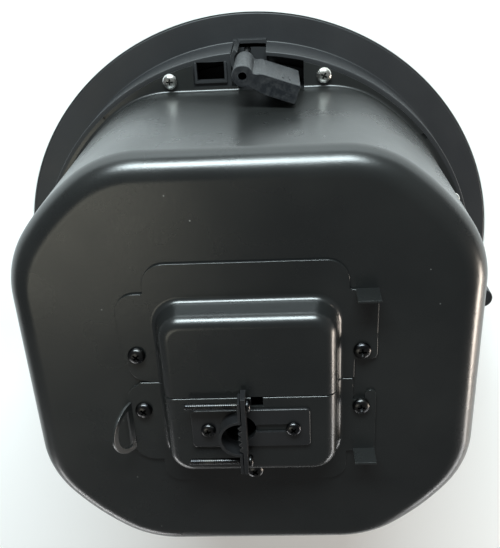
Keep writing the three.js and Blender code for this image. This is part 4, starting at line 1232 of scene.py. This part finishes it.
def safety_eye():
    """A half-ellipse of sheet steel that stands at the left edge and leans outwards."""
    sweep = [math.radians(90 + 7.5 * step) for step in range(25)]
    outer = [(15 * mm * math.cos(turn), 13 * mm * math.sin(turn)) for turn in sweep]
    inner = [(9 * mm * math.cos(turn) - 3 * mm, 10 * mm * math.sin(turn)) for turn in sweep]
    eye = prism("eye", outer, 0, sheet_wall, 0.25 * mm, 2)
    combine(eye, [prism("inside", inner, -mm, 2 * mm)])
    raise_up = Matrix.Rotation(math.radians(63), 4, "Y")
    return place(eye, Matrix.Translation((-57 * mm, -24.5 * mm, 149.2 * mm)) @ raise_up)


def build_covers():
    pan = pressed_box()
    for upper, corners, node in (
        (True, upper_plate, "terminal_cover_upper"),
        (False, lower_plate, "terminal_cover_lower"),
    ):
        cover = prism(node + "_fine", in_mm(corners), sheet_low, sheet_top, sheet_edge, 3)
        inside = box_outline(-1.5 * mm, box_corner + 1.5 * mm)
        combine(cover, [prism("inside", inside, sheet_low - mm, sheet_top + mm)])
        combine(cover, [twin(pan)], "UNION")
        keep_low = split_at + split_gap if upper else -0.1
        keep_high = 0.1 if upper else split_at - split_gap
        combine(cover, [slab("half", (-0.1, keep_low, 0.14), (0.1, keep_high, 0.18))], "INTERSECT")
        clean(cover)
        if not upper:
            select_seams(
                cover,
                lambda face: face.normal.y > 0.99 and abs(face.center.y - keep_high) < 0.05 * mm,
                lambda face: face.normal.z > 0.2,
            )
            bpy.ops.mesh.bevel(offset=0.6 * mm, segments=3, affect="EDGES")
        if upper:
            combine(cover, [folded_tab(43.4 * mm, 44.6 * mm)], "UNION")
        else:
            combine(cover, [folded_tab(-42 * mm, -40.8 * mm), safety_eye()], "UNION")
            cable_way = rod("cable_way", *cable_at, 0.155, 0.165, cable_hole, 48)
            notch = slab("notch", (0.6 * mm, -5.5 * mm, 0.155), (6 * mm, 0, 0.17))
            pilots = [
                rod("pilot", x, cable_at[1], 0.155, 0.165, 1.6 * mm, 20)
                for x in (-base_screw_x, base_screw_x)
            ]
            combine(cover, [cable_way, notch, join(pilots)])
        combine(cover, [cover_screw_holes(sheet_low - mm, sheet_top + mm)])
        smooth(clean(cover), 30)
        settle(cover, "root", "black_powder_coat", powder_coat, node)
    bpy.data.objects.remove(pan)


def build_cover_screws():
    screw = pan_screw("screw", 4, 2.5, 1.9, 8, 1.2, 1.6)
    for number, (x, y) in enumerate(cover_screw_places, 1):
        spot = Matrix.Translation((x * mm, y * mm, sheet_top + air)) @ Matrix.Rotation(0.8 * number, 4, "Z")
        name = f"cover_screw_{number}"
        settle(place(twin(screw, name + "_fine"), spot), "root", "black_screw", black_metal, name)
    bpy.data.objects.remove(screw)


build_covers()
build_cover_screws()

# ---- Cable clamp ------------------------------------------------------------------------------------------
# A pressed steel saddle that grips the cable where it comes out: a slotted base held by two screws, a half
# round jaw with two wings, and a toothed strap drawn in against it by two long screws. Black oxide on steel.
base_low = 163 * mm
base_top = 164.2 * mm
base_half_x = 26.5 * mm
base_half_y = 10 * mm
slot_left = 1.5 * mm
slot_right = 21.2 * mm
slot_half = 2.2 * mm
jaw_top = 172 * mm
jaw_inner = 8.2 * mm
jaw_outer = 9.4 * mm
wing_face = -3.8 * mm
wing_back = -5 * mm
wing_half = 19.2 * mm
strap_low = 164.5 * mm
strap_near = -3.5 * mm
strap_far = -1.5 * mm
strap_ends = (-35.85 * mm, 4.85 * mm)
strap_screws = (-1.15 * mm, -31.65 * mm)
strap_screw_z = 167.8 * mm
strap_way = 1.75 * mm
bite_half = 7.4 * mm
tooth_depth = 1.5 * mm
tooth_tip = -5.3 * mm
clamp_black = skin(
    "clamp_black", (0.007, 0.007, 0.008), (0.012, 0.012, 0.013), (0.28, 0.38), 1500, 0.00003, 0.6,
    metallic=0.1, dust=0.35, wear_and_sheen_amount=0.6
)


def build_base_and_jaw():
    """A slotted base, with the half-round jaw and its two wings drawn up from it."""
    x, y = cable_at
    outline = four_corners(-base_half_x, base_half_x, y - base_half_y, y + base_half_y, 2 * mm)
    base = prism("cable_clamp_base_fine", outline, base_low, base_top, 0.4 * mm, 3)
    ring = rod("ring", x, y, base_low + 0.1 * mm, jaw_top, jaw_outer, 72)
    edge = slab("edge", (-0.03, -0.04, base_top), (x - 0.2 * mm, 0.02, jaw_top + mm))
    combine(ring, [edge], "INTERSECT")
    wing_corner = (wing_face, y + wing_half, jaw_top)
    wing = slab("wing", (wing_back, y - wing_half, base_low + mm), wing_corner, 0.25 * mm)
    combine(base, [ring, wing], "UNION")
    bore = rod("bore", x, y, base_low - mm, jaw_top + mm, jaw_inner - 0.02 * mm, 72)
    keep = slab("keep", (-0.03, -0.04, base_top - 0.01 * mm), (wing_face + mm, 0.02, jaw_top + 2 * mm))
    round_hole = rod("round_hole", x, y, base_low - mm, base_top + mm, cable_hole, 60)
    gap_corner = (wing_face + mm, y + 7.9 * mm, jaw_top + mm)
    gap = slab("gap", (wing_back - 0.2 * mm, y - 7.9 * mm, base_top), gap_corner)
    combine(bore, [keep], "INTERSECT")
    slot = arc(slot_right - slot_half, y, slot_half, -90, 90, 12)
    slot += arc(slot_left + slot_half, y, slot_half, 90, 270, 12)
    drop = arc(-base_screw_x, y, 2.4 * mm, -60, 240, 20) + [(-base_screw_x, y - 4.4 * mm)]
    cuts = [prism("cut", points, base_low - mm, base_top + mm) for points in (slot, drop)]
    ways = [across("way", at, strap_way, -0.02, 0.0) for at in strap_screws]
    combine(base, [bore, round_hole, gap, *cuts, *ways])
    smooth(clean(base), 30)
    settle(base, "root", "black_powder_coat", clamp_black, "cable_clamp_base")


def across(name, y, radius, left, right):
    """A round bar along X at the height of the strap screws."""
    bar = rod(name, 0, 0, left, right, radius, 24)
    lie_down = Matrix.Translation((0, y, strap_screw_z)) @ Matrix.Rotation(quarter, 4, "Y")
    return place(bar, lie_down)


def build_strap():
    """A flat strap with five teeth towards the cable, and the two screws that draw it in."""
    y = cable_at[1]
    step = 2 * bite_half / 10
    bite = [(tooth_tip + (0 if k % 2 else tooth_depth), y - bite_half + step * k) for k in range(11)]
    root = bite_half + 0.2 * mm
    points = [(strap_near, strap_ends[0]), (strap_far, strap_ends[0]), (strap_far, strap_ends[1])]
    points += [(strap_near, strap_ends[1]), (strap_near, y + root), *reversed(bite), (strap_near, y - root)]
    strap = prism("cable_clamp_strap_fine", points, strap_low, jaw_top, 0.25 * mm, 2)
    combine(strap, [across("way", at, strap_way, -0.02, 0.02) for at in strap_screws])
    smooth(clean(strap), 30)
    settle(strap, "cable_strap", "black_powder_coat", clamp_black, "cable_clamp_strap")
    screw = pan_screw("screw", 2.85, 2, 1.5, 27, 0.9, 1)
    for number, at in enumerate(strap_screws, 1):
        turn = Matrix.Rotation(quarter, 4, "Y") @ Matrix.Rotation(0.5 * number, 4, "Z")
        spot = Matrix.Translation((strap_far + air, at, strap_screw_z)) @ turn
        name = f"cable_clamp_screw_{number}"
        settle(place(twin(screw, name + "_fine"), spot), name + "_body", "black_screw", black_metal, name)
    bpy.data.objects.remove(screw)


def build_base_screws():
    screw = pan_screw("screw", 3.4, 2, 1.5, 6, 0.9, 1.4)
    for number, x in ((1, -base_screw_x), (2, base_screw_x)):
        spot = Matrix.Translation((x, cable_at[1], base_top + air)) @ Matrix.Rotation(0.35 * number, 4, "Z")
        name = f"clamp_base_screw_{number}"
        settle(place(twin(screw, name + "_fine"), spot), "root", "black_screw", black_metal, name)
    bpy.data.objects.remove(screw)


build_base_and_jaw()
build_strap()
build_base_screws()

# ---- Grille -----------------------------------------------------------------------------------------------
# Thin steel with a field of small round holes, pressed into a shallow dish that clips over the ring by
# magnets, and powder coated in matt white.
grille_edge = 141.4 * mm
grille_back = 4 * mm
grille_sheet = 0.9 * mm
field_edge = 133 * mm
hole_pitch = 4.4 * mm
hole_size = 1.45 * mm
white_coat = skin(
    "white_coat", (0.74, 0.74, 0.72), (0.82, 0.82, 0.8), (0.42, 0.55), 1600, 0.00004, 0.45,
    dust=0.15, wear_and_sheen_amount=0.15, wear_and_sheen_colour=(0.6, 0.6, 0.58)
)


def repeat(piece, step, count):
    row = piece.modifiers.new("row", "ARRAY")
    row.use_relative_offset = False
    row.use_constant_offset = True
    row.constant_offset_displace = step
    row.count = count
    bpy.ops.object.modifier_apply(modifier=row.name)


def build_grille():
    """A hexagon of mesh round each hole, repeated over the field and trimmed to a circle."""
    side = hole_pitch / math.sqrt(3)
    row_pitch = hole_pitch * math.cos(math.pi / 6)
    cell = outline_plate("grille_fine", arc(0, 0, side, 30, 330, 5), 0)
    select_faces(cell, lambda face: True)
    bpy.ops.mesh.inset(thickness=side * math.cos(math.pi / 6) - hole_size, depth=0)
    bpy.ops.mesh.delete(type="FACE")
    bpy.ops.object.mode_set(mode="OBJECT")
    rows = math.ceil(field_edge / row_pitch)
    columns = 2 * math.ceil(field_edge / hole_pitch) + 3
    place(cell, Matrix.Translation((-(columns - 1) / 2 * hole_pitch, 0, 0)))
    repeat(cell, (hole_pitch, 0, 0), columns)
    pair = place(twin(cell, "pair"), Matrix.Translation((hole_pitch / 2, row_pitch, 0)))
    field = join([cell, pair])
    field.name = "grille_fine"
    place(field, Matrix.Translation((0, -rows * row_pitch, 0)))
    repeat(field, (0, 2 * row_pitch, 0), rows + 1)
    select_faces(field, lambda face: face.center.xy.length > field_edge)
    bpy.ops.mesh.delete(type="FACE")
    clean(field)
    wall = field.modifiers.new("wall", "SOLIDIFY")
    wall.thickness = grille_sheet
    wall.offset = 1
    bpy.ops.object.modifier_apply(modifier=wall.name)
    inner, sheet, back, edge = field_edge / mm - 1.6, grille_sheet / mm, grille_back / mm, grille_edge / mm
    rim = [(inner, 0), (edge - 1.2, 0), (edge - 0.35, 0.35), (edge, 1.2), (edge, back), (edge - sheet, back)]
    rim += [(edge - sheet, 1.7), (edge - 1.35, 1.05), (edge - 1.9, sheet), (inner, sheet)]
    grille = join([field, turned("rim", rim, 180)])
    smooth(grille, 40)
    settle(grille, "root", "white_steel", white_coat, "grille")


build_grille()
